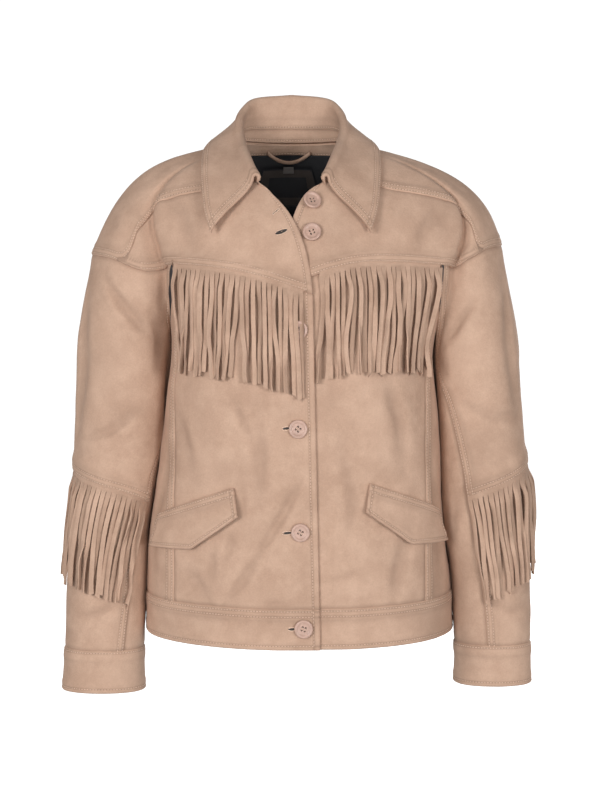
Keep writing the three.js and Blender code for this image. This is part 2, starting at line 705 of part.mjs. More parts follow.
const body = group();
const panelNormal = (at, share) => {
  const z = mix(yokeLine, bandTop, share);
  return bodyNormal(columnAngle(at, z), z);
};
for (const { name, side } of sides) {
  const columns = side < 0 ? frontColumns : mirrored(frontColumns);
  sew(`front_${name}`, wall(lowerBody, columns, steps(0, 1, 11), { normal: panelNormal }), suede, body);
  const panel = (across, share) => sidePanel(side, across, share);
  const normal = (across, share) => {
    const z = mix(yokeLine, bandTop, share);
    return bodyNormal(sideAngle(side, across, z), z);
  };
  sew(`side_panel_${name}`, wall(panel, steps(0, 1, 6), steps(0, 1, 11), { normal }), suede, body);
}
sew('back_panel', wall(lowerBody, backColumns, steps(0, 1, 11), { normal: panelNormal }), suede, body);

// The hem band carries on where the panels end: each front from its edge to the back seam, then the back.
function bandPoint(at, share) {
  const angle = columnAngle(at, bandTop);
  const point = lowerBodyAt(at, mix(hemHeight(angle) + hemBandHeight, hemHeight(angle), share));
  return at >= lastColumn - foldColumn ? lapDrop(point) : point;
}

function bandFront(side, across, share) {
  if (across <= foldColumn) return bandPoint(side < 0 ? across : lastColumn - across, share);
  const angle = sideAngle(side, across - foldColumn, bandTop);
  const z = mix(hemHeight(angle) + hemBandHeight, hemHeight(angle), share);
  return sidePanelAt(side, across - foldColumn, z);
}

function bandAngle(side, across) {
  if (across <= foldColumn) return columnAngle(side < 0 ? across : lastColumn - across, bandTop);
  return sideAngle(side, across - foldColumn, bandTop);
}

for (const { name, side } of sides) {
  const columns = [...frontColumns, ...steps(foldColumn, foldColumn + 1, 6).slice(1)];
  const surface = (across, share) => bandFront(side, across, share);
  const normal = (across) => bodyNormal(bandAngle(side, across), bandTop);
  sew(`hem_band_front_${name}`, wall(surface, columns, steps(0, 1, 2), { normal }), suede, body);
}
const bandBackNormal = (at) => bodyNormal(columnAngle(at, bandTop), bandTop);
sew('hem_band_back', wall(bandPoint, backColumns, steps(0, 1, 2), { normal: bandBackNormal }), suede, body);

for (const { name, side } of sides) {
  const sleeve = group();
  const across = steps(0, sleeveColumns, 2 * sleeveColumns);
  const facing = (point) => new THREE.Vector3(point.x - side * sleeveMiddle.x, point.y - sleeveMiddle.y, 0);
  const top = (at, row) => topSleevePoint(side, at, row);
  const under = (part, row) => underSleevePoint(side, part, row);
  const topEdge = (at, row) => sleeveSeamNormal(side, at, top(at, row).z);
  const underEdge = (part, row) => sleeveSeamNormal(side, sleeveColumns * part, under(part, row).z);
  const upperRows = steps(0, seamRow, seamRow);
  const lowerRows = steps(seamRow, cuffRow, cuffRow - seamRow);
  const allRows = steps(0, cuffRow, cuffRow);
  sew(`sleeve_upper_${name}`, wall(top, across, upperRows, { facing, edgeNormal: topEdge }), suede, sleeve);
  sew(`sleeve_lower_${name}`, wall(top, across, lowerRows, { facing, edgeNormal: topEdge }), suede, sleeve);
  const underWall = wall(under, steps(0, 1, 6), allRows, { facing, edgeNormal: underEdge });
  sew(`undersleeve_${name}`, underWall, suede, sleeve);
  const cuffHeight = (share) => mix(cuffTop(side), cuffBottom(side), share);
  const cuff = (turn, share) => sleeveSection(side, turn * 2 * Math.PI, cuffHeight(share));
  const turns = steps(0, 1, 24).slice(0, 24);
  sew(`cuff_${name}`, wall(cuff, turns, steps(0, 1, 2), { facing, ring: true }), suede, sleeve);
  const fringe = (at, share) => {
    const seam = chevron(side, topSleeveAngle(side, at, elbow));
    return topSleeve(side, at, seam - share * fringeLength);
  };
  const hang = { facing, out: fringeStandOff + fringeWall, into: -fringeStandOff };
  sew(`sleeve_fringe_${name}`, wall(fringe, across, steps(0, 1, 3), hang), suedeTrim, sleeve);
}

const trims = group();
for (const { name, side } of sides) {
  const fringed = steps(fringeStart[name], foldColumn, 6);
  const columns = side < 0 ? fringed : mirrored(fringed);
  const hang = { facing: fromMiddle, out: fringeWall, into: 0 };
  sew(`chest_fringe_${name}`, wall(chestFringe, columns, steps(0, 1, 4), hang), suedeTrim, trims);
  const flap = (share, down) => flapPoint(side, flapCorner[name], share, down);
  const shares = [0, 0.15, 0.3, 0.45, 0.6, 0.75, 0.9, 1];
  const flapWall = wall(flap, shares, steps(0, 1, 3), { facing: fromMiddle, out: suedeWall, into: 0 });
  sew(`pocket_flap_${name}`, flapWall, suede, trims);
}

const neck = group();
{
  const round = steps(-centreBackColumn, centreBackColumn, 24);
  const upright = { out: collarWall / 2, into: collarWall / 2 };
  sew('collar_stand', wall(collar, round, [0, standShare], upright), suede, neck);
  const turns = [standShare, 1, 1.33, 1.67, 2, 2.25, 2.5, 2.75, 3];
  sew('collar_leaf', wall(collar, round, turns, upright), suede, neck);

  const lyingAt = (depth) => (at, share) => insideNeck(at, share, depth);
  const inward = { normal: upperNormal, out: 0, into: liningWall };
  const liningDepth = suedeWall + 2 * layerGap;
  sew('neck_facing', wall(lyingAt(liningDepth), steps(7, 15, 16), [facingShare, 1], inward), suede, neck);
  const liningShares = [0.02, ...backYokeShares.slice(1, 6)];
  sew('lining_back', wall(lyingAt(liningDepth), steps(9, 13, 8), liningShares, inward), lining, neck);
  const labelDepth = liningDepth + liningWall + 3 * layerGap;
  const place = (spot, depth, thickness) => {
    const surface = lyingAt(depth);
    const across = steps(spot.from, spot.to, 4);
    return wall(surface, across, steps(spot.low, spot.high, 3), { ...inward, into: thickness });
  };
  sew('neck_label', place(neckLabelPlace, labelDepth, labelWall), label, neck);
  sew('size_label', place(sizeLabelPlace, labelDepth + sizeLabelLift, sizeLabelWall), label, neck);
  const loop = (along, across) => {
    const hang = Math.sin(Math.PI * clamp01(along));
    const at = mix(loopEnds.from, loopEnds.to, along);
    const share = loopEnds.share - loopEnds.sag * hang - loopEnds.width * across;
    return insideNeck(at, share, labelDepth + loopEnds.hang * hang);
  };
  const towardsBack = () => new THREE.Vector3(0, 1, 0);
  const strap = wall(loop, steps(0, 1, 10), [0, 1], { facing: towardsBack, into: strapWall });
  sew('hanging_loop', strap, suede, neck);
}

const front = group();
const up = new THREE.Vector3(0, 1, 0);
function setButton(number, point, normal) {
  const button = sew(`button_${number}`, buttonShape(), horn, front);
  button.position.copy(point).addScaledVector(normal, layerGap);
  button.quaternion.setFromUnitVectors(up, normal);
}
yokeButtons.forEach(({ column, share, lean }, i) => {
  const normal = upperNormal(column, share).applyAxisAngle(new THREE.Vector3(0, 0, 1), rad(lean));
  const lift = (buttonDiameter / 2) * Math.sin(rad(lean));
  setButton(i + 1, upperBody(column, share).addScaledVector(normal, lift), normal);
});
frontButtons.forEach(({ x, z }, i) => {
  const surface = (angle, height) => bodySection(angle, height);
  const angle = angleAtX(x, z);
  setButton(i + 1 + yokeButtons.length, bodySection(angle, z), normalAt(surface, angle, z));
});

export default jacket;
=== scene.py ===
"""Fringed suede jacket in its worn form, hollow, laid out as a Blender add-on.

Sizes in the tables are millimetres: +Z is up, the front faces -Y and the wearer's right is at -X.
"""
import math

import bpy
import numpy as np
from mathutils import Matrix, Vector


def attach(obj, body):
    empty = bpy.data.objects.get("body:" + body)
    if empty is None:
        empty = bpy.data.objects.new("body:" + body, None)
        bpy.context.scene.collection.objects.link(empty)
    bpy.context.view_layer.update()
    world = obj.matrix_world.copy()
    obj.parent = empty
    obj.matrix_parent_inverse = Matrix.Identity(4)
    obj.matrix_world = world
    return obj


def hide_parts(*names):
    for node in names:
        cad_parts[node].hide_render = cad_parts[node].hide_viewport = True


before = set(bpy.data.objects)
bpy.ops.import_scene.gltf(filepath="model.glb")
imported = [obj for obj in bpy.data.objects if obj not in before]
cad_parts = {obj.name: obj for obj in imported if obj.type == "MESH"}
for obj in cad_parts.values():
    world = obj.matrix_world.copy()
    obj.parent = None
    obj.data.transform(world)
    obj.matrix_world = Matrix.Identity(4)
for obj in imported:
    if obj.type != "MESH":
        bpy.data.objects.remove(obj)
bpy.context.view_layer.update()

bl_info = {
    "name": "Fringed Suede Jacket",
    "version": (1, 0, 0),
    "blender": (4, 5, 0),
    "location": "View3D > Sidebar > Jacket",
    "description": "Builds a hollow suede jacket with fringed yokes and sleeves",
    "category": "Object",
}

MM = 0.001
TUCK = 3.0
LEAST_CUT = 0.0101
SIDES = (("right", -1), ("left", 1))

# ---------------------------------------------------------------- the pattern's driving sizes
LEATHER = 1.9
COLLAR_WALL = 2.2
LINING_WALL = 1.0
LINING_SAG = 1.2
LAYER_GAP = 0.5
HEM_BAND_HEIGHT = 45
UNDERLAP_DROP = 3.4
SQUARENESS = 2.6
SLEEVE_SQUARENESS = 2.2
ARMHOLE_DIP = 38
COLLAR_CENTRE = -10
STAND_SHARE = 0.3
BUTTON_RADIUS = 10.15
ROLL_RADIUS = 4
LEAF_BELLY = 6
FOOT_LIFT = 2.4
BLEND_DEPTH = 110
BAND_TOP = -510
FULL_SLEEVE_Z = -245
ELBOW = -385
SEAM_ROW = 8
CUFF_ROW = 14
FACING_SHARE = 0.9

# Height, half widths to the wearer's right and left, depth to the front and to the back.
BODY_SECTIONS = np.array([
    (-560, 177, 176, 116, 107),
    (-500, 176.5, 174.5, 117, 104),
    (-435, 173, 166, 118, 101),
    (-380, 165, 161.5, 119, 99),
    (-320, 156.5, 159, 121, 98),
    (-285, 153, 156, 122, 99),
    (-245, 148, 152, 122, 102),
    (-172, 142, 151, 117, 106),
    (-134, 142, 153, 112, 106),
    (-90, 142, 153, 108, 108),
], float)

# Lines that climb from the lower edge of the yokes to the neck: low end, two bending points, neck end.
CLIMBING_LINES = np.array([
    ((13.5, -117, -166), (8, -114, -100), (-12, -97, -66), (-46, -76, -46)),
    ((-64, -109, -143), (-64, -108, -105), (-64, -86, -50), (-60, -52, -24)),
    ((-139, -73, -134), (-143, -80, -112), (-194, -53, -44), (-73, -22, -4)),
    ((-151, -52, -138), (-158, -58, -108), (-203, -44, -42), (-76, -12, 1)),
    ((-174, -65, -140), (-186, -66, -100), (-196, -40, -35), (-77, -6, 3)),
    ((-212, -51, -126), (-208, -50, -78), (-182, -25, -22), (-77, -1, 5)),
    ((-238, -5, -121), (-203, -5, -24), (-165, -2, -11), (-77, 5, 7)),
    ((-214, 48, -125), (-206, 48, -76), (-178, 26, -22), (-76, 16, 8)),
    ((-174, 71, -138), (-174, 74, -96), (-160, 50, -32), (-71, 28, 9)),
    ((-139, 76, -136), (-138, 82, -100), (-128, 64, -32), (-62, 38, 10)),
    ((-72, 100, -134), (-72, 105, -95), (-64, 88, -26), (-42, 52, 10)),
    ((-4, 106, -134), (-4, 110, -95), (-8, 92, -22), (-10, 60, 10)),
    ((74, 100, -134), (72, 105, -95), (50, 88, -26), (22, 52, 10)),
    ((152, 76, -136), (148, 82, -100), (122, 64, -34), (42, 38, 10)),
    ((180, 70, -132), (178, 73, -92), (158, 50, -34), (51, 28, 9)),
    ((212, 46, -116), (208, 46, -72), (178, 26, -28), (56, 16, 8)),
    ((230, -5, -111), (212, -5, -38), (168, -2, -20), (57, 5, 7)),
    ((208, -50, -116), (208, -48, -72), (188, -25, -28), (57, -1, 5)),
    ((186, -62, -128), (196, -64, -92), (205, -40, -36), (57, -6, 3)),
    ((169, -53, -137), (181, -58, -106), (214, -46, -42), (56, -12, 1)),
    ((156, -70, -134), (166, -79, -108), (213, -53, -46), (53, -22, -4)),
    ((62, -108, -134), (62, -106, -98), (52, -84, -48), (41, -52, -24)),
    ((-20, -112, -158), (-16, -103, -88), (2, -86, -42), (27, -74, -47)),
], float)
LOW, BEND_LOW, BEND_HIGH, NECK = (CLIMBING_LINES[:, k] for k in range(4))
FOLD_COLUMN = 2
BACK_SEAM_COLUMN = 9
CENTRE_BACK_COLUMN = 11
LAST_COLUMN = 22
BACK_COLUMNS = (BACK_SEAM_COLUMN, LAST_COLUMN - BACK_SEAM_COLUMN)

SLEEVE_ANGLES = np.array([(0, -45), (1, -25), (2, 0), (3, 42), (4, 90), (5, 138), (6, 180), (7, 222)], float)

# Column and share of the way up where the forward shoulder seam crosses each line.
SHOULDER_SEAM = np.array([(0.333, 1.0), (0.667, 0.97), (1.5, 0.68), (2, 0.6), (3, 0.5), (4, 0.32),
                          (4.5, 0.04), (4.75, 0.003)], float)

# Height, middle, half width and half depth of each sleeve.
SLEEVES = {
    -1: np.array([
        (-614, -223.8, -32, 47.5, 34), (-566, -222.8, -28, 45.2, 38), (-500, -221, -20, 46, 47),
        (-440, -217, -14, 46, 53), (-385, -210.5, -9, 48, 58), (-334, -205.8, -5, 51.8, 62),
        (-245, -201, -2, 54, 64),
    ], float),
    1: np.array([
        (-606, 219, -32, 44.5, 34), (-560, 218.5, -28, 43, 38), (-520, 218.5, -22, 44.5, 44),
        (-475, 216.5, -17, 46, 50), (-440, 213, -13, 50, 53), (-400, 210.5, -9, 51.5, 57),
        (-334, 207, -5, 50, 62), (-245, 199.5, -2, 51, 64),
    ], float),
}
SLEEVE_SEAMS = {
    -1: np.array([(-614, -35), (-450, -43), (-375, -54), (-320, -75), (-270, -90), (-200, -72),
                  (-134, -45)], float),
    1: np.array([(-606, -10), (-500, -16), (-400, -23), (-334, -31), (-290, -40), (-238, -58), (-134, -45)], float),
}
CHEVRONS = {
    -1: np.array([(-60, -403), (0, -383), (90, -365), (180, -383), (235, -398)], float),
    1: np.array([(-60, -408), (0, -385), (90, -357), (180, -383), (235, -398)], float),
}
CUFF_TOP = {-1: -566, 1: -560}
CUFF_BOTTOM = {-1: -614, 1: -606}

# Column from the centre back, roll line and outer edge of the collar.
COLLAR_SECTIONS = np.array([
    (0, 0, 54, 66, 0, 90, -1),
    (1.5, 40, 44, 61, 62, 75, 1),
    (3, 54, 28, 50, 86, 50, 5),
    (6, 60, 0, 29, 98, -2, 0),
    (9, 56, -28, 6, 100, -46, -24),
    (9.8, 50, -55, -10, 98, -73, -50),
    (10.4, 44, -74, -24, 94, -93, -76),
    (11, 38, -85, -36, 87, -107, -99),
], float)

FLAP_TOP = np.array([(0, 0, 0), (1, 100, 34)], float)
FLAP_BOTTOM = np.array([(0, -5, 31), (0.45, 47, 68), (1, 108, 70)], float)
FLAP_CORNERS = {-1: (-72, -377), 1: (75.5, -372)}
CHEST_FRINGE_START = {-1: 0.12, 1: 0.5}

YOKE_BUTTONS = ((21.75, 0.575, 20), (21.62, 0.31, 0))
FRONT_BUTTONS = ((-2, -205), (-2, -312), (0.5, -425), (4, -531))

# Creases: which side they lie on, half width, valley, step across it, then their points.
# On the front and back a point is (x, z), on the sides (y, z), on a sleeve (degrees from its front, z).
CREASES = (
    ("front", 6, 1.2, 1.1, ((3, -371), (-16, -409), (-44, -454))),
    ("front", 5, 0.9, 0.6, ((-69, -284), (-53, -320))),
    ("front", 9, 0.8, 0.6, ((-38, -313), (-38, -389))),
    ("front", 5, 0.8, 0.5, ((-60, -377), (-63, -409))),
    ("front", 5, 0.9, -0.6, ((-76, -427), (-83, -454))),
    ("front", 7, 1.2, -0.9, ((-52, -456), (-81, -499))),
    ("front", 5, 0.7, 0.4, ((-92, -446), (-96, -484))),
    ("front", 4, 0.7, 0.3, ((-46, -501), (-8, -503))),
    ("front", 9, 1.0, 0.9, ((98, -259), (112, -300), (118, -357))),
    ("front", 8, 0.8, -0.6, ((40, -330), (52, -392), (47, -440))),
    ("front", 9, 0.9, 0.7, ((126, -420), (112, -470), (108, -500))),
    ("front", 7, 0.8, 0.5, ((-130, -300), (-118, -352))),
    ("front", 8, 0.8, 0.6, ((-118, -470), (-98, -500))),
    ("front", 6, 0.7, 0.4, ((30, -478), (58, -470), (88, -486))),
    ("front", 8, 0.9, 0.5, ((-150, -52), (-128, -72), (-118, -104))),
    ("front", 8, 0.8, -0.5, ((160, -60), (138, -84), (124, -112))),
    ("front", 7, 0.8, 0.5, ((-190, -62), (-176, -84))),
    ("front", 7, 0.7, 0.4, ((-208, -76), (-202, -96))),
    ("back", 11, 1.6, 1.0, ((-110, -170), (-98, -280), (-104, -400))),
    ("back", 12, 1.4, -0.9, ((-40, -210), (-46, -330), (-38, -470))),
    ("back", 11, 1.5, 0.9, ((52, -180), (46, -300), (58, -440))),
    ("back", 11, 1.5, -0.9, ((118, -170), (104, -290), (112, -420))),
    ("back", 8, 1.1, 0.7, ((-128, -60), (-96, -86), (-70, -90))),
    ("back", 8, 1.1, -0.7, ((126, -62), (98, -84), (66, -92))),
    ("back", 7, 0.9, 0.6, ((-20, -330), (18, -352), (60, -346))),
    ("back", 7, 0.9, 0.5, ((-80, -452), (-40, -468), (10, -458))),
    ("sides", 10, 1.5, 0.9, ((-20, -220), (-6, -330), (-14, -460))),
    ("sides", 9, 1.3, -0.9, ((40, -230), (52, -340), (44, -450))),
    ("sides", 8, 1.0, 0.6, ((-70, -330), (-52, -420), (-60, -490))),
    ("right sleeve", 6, 1.5, 1.2, ((18, -154), (-2, -182), (-28, -214))),
    ("right sleeve", 8, 1.2, 0.8, ((-30, -190), (-42, -216), (-40, -240))),
    ("right sleeve", 8, 1.3, 0.9, ((60, -170), (48, -240), (56, -320))),
    ("right sleeve", 6, 1.1, -0.8, ((-20, -300), (6, -322), (36, -330))),
    ("right sleeve", 7, 1.6, 1.1, ((100, -292), (140, -318), (190, -326))),
    ("right sleeve", 7, 1.5, -1.0, ((96, -338), (132, -344), (176, -360))),
    ("right sleeve", 7, 1.3, 0.8, ((150, -190), (170, -240), (188, -262))),
    ("right sleeve", 6, 1.0, 0.7, ((-24, -506), (4, -520), (36, -524))),
    ("right sleeve", 6, 1.0, 0.7, ((120, -500), (150, -514), (196, -520))),
    ("left sleeve", 6, 1.3, 1.0, ((-4, -176), (-20, -202), (-34, -222))),
    ("left sleeve", 8, 1.2, 0.8, ((48, -150), (40, -220), (50, -300))),
    ("left sleeve", 6, 1.2, -0.8, ((-18, -290), (10, -306), (44, -306))),
    ("left sleeve", 7, 1.6, 1.1, ((92, -280), (134, -300), (186, -312))),
    ("left sleeve", 7, 1.5, -1.0, ((98, -330), (140, -342), (182, -352))),
    ("left sleeve", 7, 1.3, 0.8, ((146, -180), (166, -228), (186, -250))),
    ("left sleeve", 6, 1.0, 0.7, ((-10, -500), (18, -516), (48, -518))),
    ("left sleeve", 6, 1.0, 0.7, ((118, -494), (156, -510), (198, -512))),
)


# ---------------------------------------------------------------- curves
def smooth(value):
    """Soft step from 0 to 1."""
    s = np.clip(value, 0, 1)
    return s * s * (3 - 2 * s)


def mix(a, b, share):
    return a + (b - a) * share


def read_table(rows, at, column=1):
    """Smooth curve through a table, read between its rows; its first column is the place."""
    keys, values = rows[:, 0], rows[:, column]
    last = len(keys) - 1
    place = np.clip(at, keys[0], keys[-1])
    i = np.clip(np.searchsorted(keys, place, side="left") - 1, 0, last - 1)
    low, high = np.maximum(np.arange(last + 1) - 1, 0), np.minimum(np.arange(last + 1) + 1, last)
    slopes = (values[high] - values[low]) / (keys[high] - keys[low])
    span = keys[i + 1] - keys[i]
    s = (place - keys[i]) / span
    hermite = values[i] * (1 + 2 * s) * (1 - s) ** 2 + values[i + 1] * s * s * (3 - 2 * s)
    return hermite + span * (slopes[i] * s * (1 - s) ** 2 - slopes[i + 1] * s * s * (1 - s))


def through_points(points, at):
    """Smooth line through points, read at a column."""
    last = len(points) - 1
    at = np.asarray(at, float)
    i = np.clip(np.floor(at).astype(int), 0, last - 1)
    s = (at - i)[..., None]
    a, b = points[i], points[i + 1]
    before, after = points[np.maximum(i - 1, 0)], points[np.minimum(i + 2, last)]
    start = (b - before) / np.where(i > 0, 2, 1)[..., None]
    end = (after - a) / np.where(i + 2 <= last, 2, 1)[..., None]
    curve = a * (1 + 2 * s) * (1 - s) ** 2 + b * s * s * (3 - 2 * s)
    return curve + start * s * (1 - s) ** 2 - end * s * s * (1 - s)


def bezier(a, b, c, d, t):
    t = np.asarray(t, float)[..., None]
    r = 1 - t
    return a * r ** 3 + 3 * b * r * r * t + 3 * c * r * t * t + d * t ** 3


def unit(vectors):
    return vectors / np.maximum(np.linalg.norm(vectors, axis=-1, keepdims=True), 1e-9)


def stack(x, y, z):
    return np.stack(np.broadcast_arrays(np.asarray(x, float), y, z), -1)


def superellipse(angle, sideways, forwards, power):
    s, c = np.sin(angle), np.cos(angle)
    reach = (np.abs(s / sideways) ** power + np.abs(c / forwards) ** power) ** (-1 / power)
    return reach * s, -reach * c


# ---------------------------------------------------------------- the body's surface
def body_section(angle, z):
    half = np.where(np.sin(angle) < 0, read_table(BODY_SECTIONS, z, 1), read_table(BODY_SECTIONS, z, 2))
    deep = np.where(np.cos(angle) > 0, read_table(BODY_SECTIONS, z, 3), read_table(BODY_SECTIONS, z, 4))
    x, y = superellipse(angle, half, deep, SQUARENESS)
    return stack(x, y, z)


def hem_height(angle):
    c = np.cos(angle)
    return -546 - np.where(c > 0, 9, 1.5) * c


def upper_body(at, share):
    return bezier(*(through_points(line, at) for line in (LOW, BEND_LOW, BEND_HIGH, NECK)), share)


def angle_at_x(x, z):
    half = np.where(np.asarray(x) < 0, read_table(BODY_SECTIONS, z, 1), read_table(BODY_SECTIONS, z, 2))
    deep = read_table(BODY_SECTIONS, z, 3)
    out = np.minimum(np.abs(x), 0.93 * half)
    y = deep * (1 - (out / half) ** SQUARENESS) ** (1 / SQUARENESS)
    return np.sign(x) * np.arctan2(out, y)


def column_angle(at, z):
    """Angle round the body of a column at a height."""
    at, z = np.broadcast_arrays(np.asarray(at, float), np.asarray(z, float))
    edge = mix(13.5, 22, np.clip((-166 - z) / 380, 0, 1))
    right = mix(angle_at_x(edge, z), angle_at_x(-140 + 0 * z, z), at / FOLD_COLUMN)
    left = mix(angle_at_x(-20 + 0 * z, z), angle_at_x(140 + 0 * z, z), (LAST_COLUMN - at) / FOLD_COLUMN)
    back = np.radians(mix(-118, -242, (at - BACK_SEAM_COLUMN) / 4))
    return np.where(at <= FOLD_COLUMN, right, np.where(at >= LAST_COLUMN - FOLD_COLUMN, left, back))


def lower_body_at(at, z):
    top = through_points(LOW, at)
    top_z = top[..., 2]
    wanted = top - body_section(column_angle(at, top_z), top_z)
    lean = smooth((z - (top_z - BLEND_DEPTH)) / BLEND_DEPTH)[..., None]
    return body_section(column_angle(at, z), z) + wanted * lean


def lap_drop(points):
    drop = UNDERLAP_DROP * smooth((62 - points[..., 0]) / 34)
    return points + stack(0, drop, 0)


def lower_body(at, share):
    at, share = np.broadcast_arrays(np.asarray(at, float), np.asarray(share, float))
    bottom = hem_height(column_angle(at, BAND_TOP)) + HEM_BAND_HEIGHT
    points = lower_body_at(at, mix(through_points(LOW, at)[..., 2], bottom, share))
    lapped = mix(points, lap_drop(points), smooth(share * 8)[..., None])
    return np.where((at < LAST_COLUMN - FOLD_COLUMN)[..., None], points, lapped)


def front_seam(side):
    return FOLD_COLUMN if side < 0 else LAST_COLUMN - FOLD_COLUMN


def back_seam(side):
    return BACK_SEAM_COLUMN if side < 0 else LAST_COLUMN - BACK_SEAM_COLUMN


def side_angle(side, across, z):
    back = column_angle(back_seam(side), z) + (0 if side < 0 else 2 * math.pi)
    return mix(column_angle(front_seam(side), z), back, across)


def side_panel_at(side, across, z):
    def shift(at, angle):
        highest = through_points(LOW, at)[2]
        points = lower_body_at(at, np.minimum(z, highest))
        points[..., 2] = z
        return points - body_section(angle, z)

    front = shift(front_seam(side), side_angle(side, 0, z))
    back = shift(back_seam(side), side_angle(side, 1, z))
    return body_section(side_angle(side, across, z), z) + mix(front, back, np.asarray(across, float)[..., None])


def armhole_height(side, across):
    front, back = through_points(LOW, front_seam(side))[2], through_points(LOW, back_seam(side))[2]
    return mix(front, back, across) - ARMHOLE_DIP * np.sin(math.pi * np.clip(across, 0, 1)) ** 0.8


def side_panel(side, across, share):
    across, share = np.broadcast_arrays(np.asarray(across, float), np.asarray(share, float))
    bottom = hem_height(side_angle(side, across, BAND_TOP)) + HEM_BAND_HEIGHT
    return side_panel_at(side, across, mix(armhole_height(side, across), bottom, share))


def body_normal(angle, z):
    along = body_section(angle + 1e-4, z) - body_section(angle - 1e-4, z)
    return unit(np.cross(along, (0, 0, 1)))


def upper_normal(at, share):
    across = upper_body(at + 1e-3, share) - upper_body(at - 1e-3, share)
    up = upper_body(at, share + 1e-3) - upper_body(at, share - 1e-3)
    return unit(np.cross(up, across))


def band_point(at, share):
    at, share = np.broadcast_arrays(np.asarray(at, float), np.asarray(share, float))
    hem = hem_height(column_angle(at, BAND_TOP))
    points = lower_body_at(at, mix(hem + HEM_BAND_HEIGHT, hem, share))
    return np.where((at >= LAST_COLUMN - FOLD_COLUMN)[..., None], lap_drop(points), points)


def band_front(side, across, share):
    across, share = np.broadcast_arrays(np.asarray(across, float), np.asarray(share, float))
    front = band_point(across if side < 0 else LAST_COLUMN - across, share)
    beyond = np.maximum(across - FOLD_COLUMN, 0)
    hem = hem_height(side_angle(side, beyond, BAND_TOP))
    panel = side_panel_at(side, beyond, mix(hem + HEM_BAND_HEIGHT, hem, share))
    return np.where((across <= FOLD_COLUMN)[..., None], front, panel)


# ---------------------------------------------------------------- the sleeves' surface
def sleeve_section(side, angle, z):
    rows = SLEEVES[side]
    x, y = superellipse(angle, read_table(rows, z, 3), read_table(rows, z, 4), SLEEVE_SQUARENESS)
    return stack(read_table(rows, z, 1) + side * x, read_table(rows, z, 2) + y, z)


def seam_angle(side, z):
    return np.radians(read_table(SLEEVE_SEAMS[side], z))


def top_sleeve_angle(side, at, z):
    share = (read_table(SLEEVE_ANGLES, at) + 45) / 267
    return mix(seam_angle(side, z), math.radians(222), share)


def under_sleeve_angle(side, across, z):
    return mix(seam_angle(side, z) + 2 * math.pi, math.radians(222), across)


def from_armhole(side, start, angle, z):
    """The sleeve from the armhole line down to where it is full, and on."""
    lead = sleeve_section(side, angle(FULL_SLEEVE_Z), FULL_SLEEVE_Z)
    top_z = start[..., 2]
    drop = (top_z - FULL_SLEEVE_Z) / 3
    reach = lead - start
    near_top = start + stack(reach[..., 0] * 0.28, reach[..., 1] * 0.12, -drop)
    near_full = lead + stack(0, 0, drop)
    share = np.clip((top_z - z) / (top_z - FULL_SLEEVE_Z), 0, 1)
    cap = bezier(start, near_top, near_full, lead, share)
    return np.where((z <= FULL_SLEEVE_Z)[..., None], sleeve_section(side, angle(z), z), cap)


def chevron(side, angle):
    return read_table(CHEVRONS[side], np.degrees(angle))


def top_sleeve(side, at, z):
    at, z = np.broadcast_arrays(np.asarray(at, float), np.asarray(z, float))
    start = through_points(LOW, front_seam(side) - side * at)
    return from_armhole(side, start, lambda level: top_sleeve_angle(side, at, level), z)


def row_height(side, row, top, seam):
    upper = mix(top, seam, row / SEAM_ROW)
    lower = mix(seam, CUFF_TOP[side], (row - SEAM_ROW) / (CUFF_ROW - SEAM_ROW))
    return np.where(row <= SEAM_ROW, upper, lower)


def top_sleeve_point(side, at, row):
    at, row = np.broadcast_arrays(np.asarray(at, float), np.asarray(row, float))
    top = through_points(LOW, front_seam(side) - side * at)[..., 2]
    seam = chevron(side, top_sleeve_angle(side, at, ELBOW))
    return top_sleeve(side, at, row_height(side, row, top, seam))


def under_sleeve_point(side, across, row):
    across, row = np.broadcast_arrays(np.asarray(across, float), np.asarray(row, float))
    ends = [chevron(side, top_sleeve_angle(side, end, ELBOW)) for end in (0.0, 7.0)]
    z = row_height(side, row, armhole_height(side, across), mix(ends[0], ends[1], across))
    start = side_panel(side, across, 0.0)
    return from_armhole(side, start, lambda level: under_sleeve_angle(side, across, level), z)


# ---------------------------------------------------------------- the collar, the flaps and what lies in the neck
def collar(from_back, turn):
    """Turn 0 to 1 is the stand, 1 to 2 the roll and 2 to 3 the leaf; from_back is negative on the right."""
    from_back, turn = np.broadcast_arrays(np.asarray(from_back, float), np.asarray(turn, float))
    side = np.where(from_back < 0, -1, 1)
    row = [read_table(COLLAR_SECTIONS, np.abs(from_back), k) for k in range(1, 7)]
    roll = stack(COLLAR_CENTRE + side * row[0], row[1], row[2])
    edge = stack(COLLAR_CENTRE + side * row[3], row[4], row[5])
    at = CENTRE_BACK_COLUMN + from_back
    level = np.array((1, 1, 0))
    out = unit((edge - roll) * level)
    down = np.array((0, 0, -ROLL_RADIUS))
    roll_in, roll_out = roll - out * ROLL_RADIUS + down, roll + out * ROLL_RADIUS + down
    neck_edge = through_points(NECK, at) - upper_normal(at, 0.97) * (LEATHER / 2)
    foot = neck_edge + unit(roll_in - neck_edge) * FOOT_LIFT
    stand = mix(foot, roll_in, np.clip(turn, 0, 1)[..., None])
    swing = math.pi * (turn - 1)[..., None]
    arc = mix(roll_in, roll_out, 0.5) - np.cos(swing) * out * ROLL_RADIUS
    arc = arc + np.sin(swing) * np.array((0, 0, ROLL_RADIUS))
    reach = edge - roll_out
    flat = np.hypot(reach[..., 0], reach[..., 1])
    belly = unit(out * -reach[..., 2:] + stack(0, 0, flat)) * LEAF_BELLY
    first = roll_out + reach * np.array((0, 0, 0.3)) + out * 2
    leaf = bezier(roll_out, first, edge - reach * 0.35 + belly, edge, np.clip(turn - 2, 0, 1))
    return np.where((turn <= 1)[..., None], stand, np.where((turn <= 2)[..., None], arc, leaf))


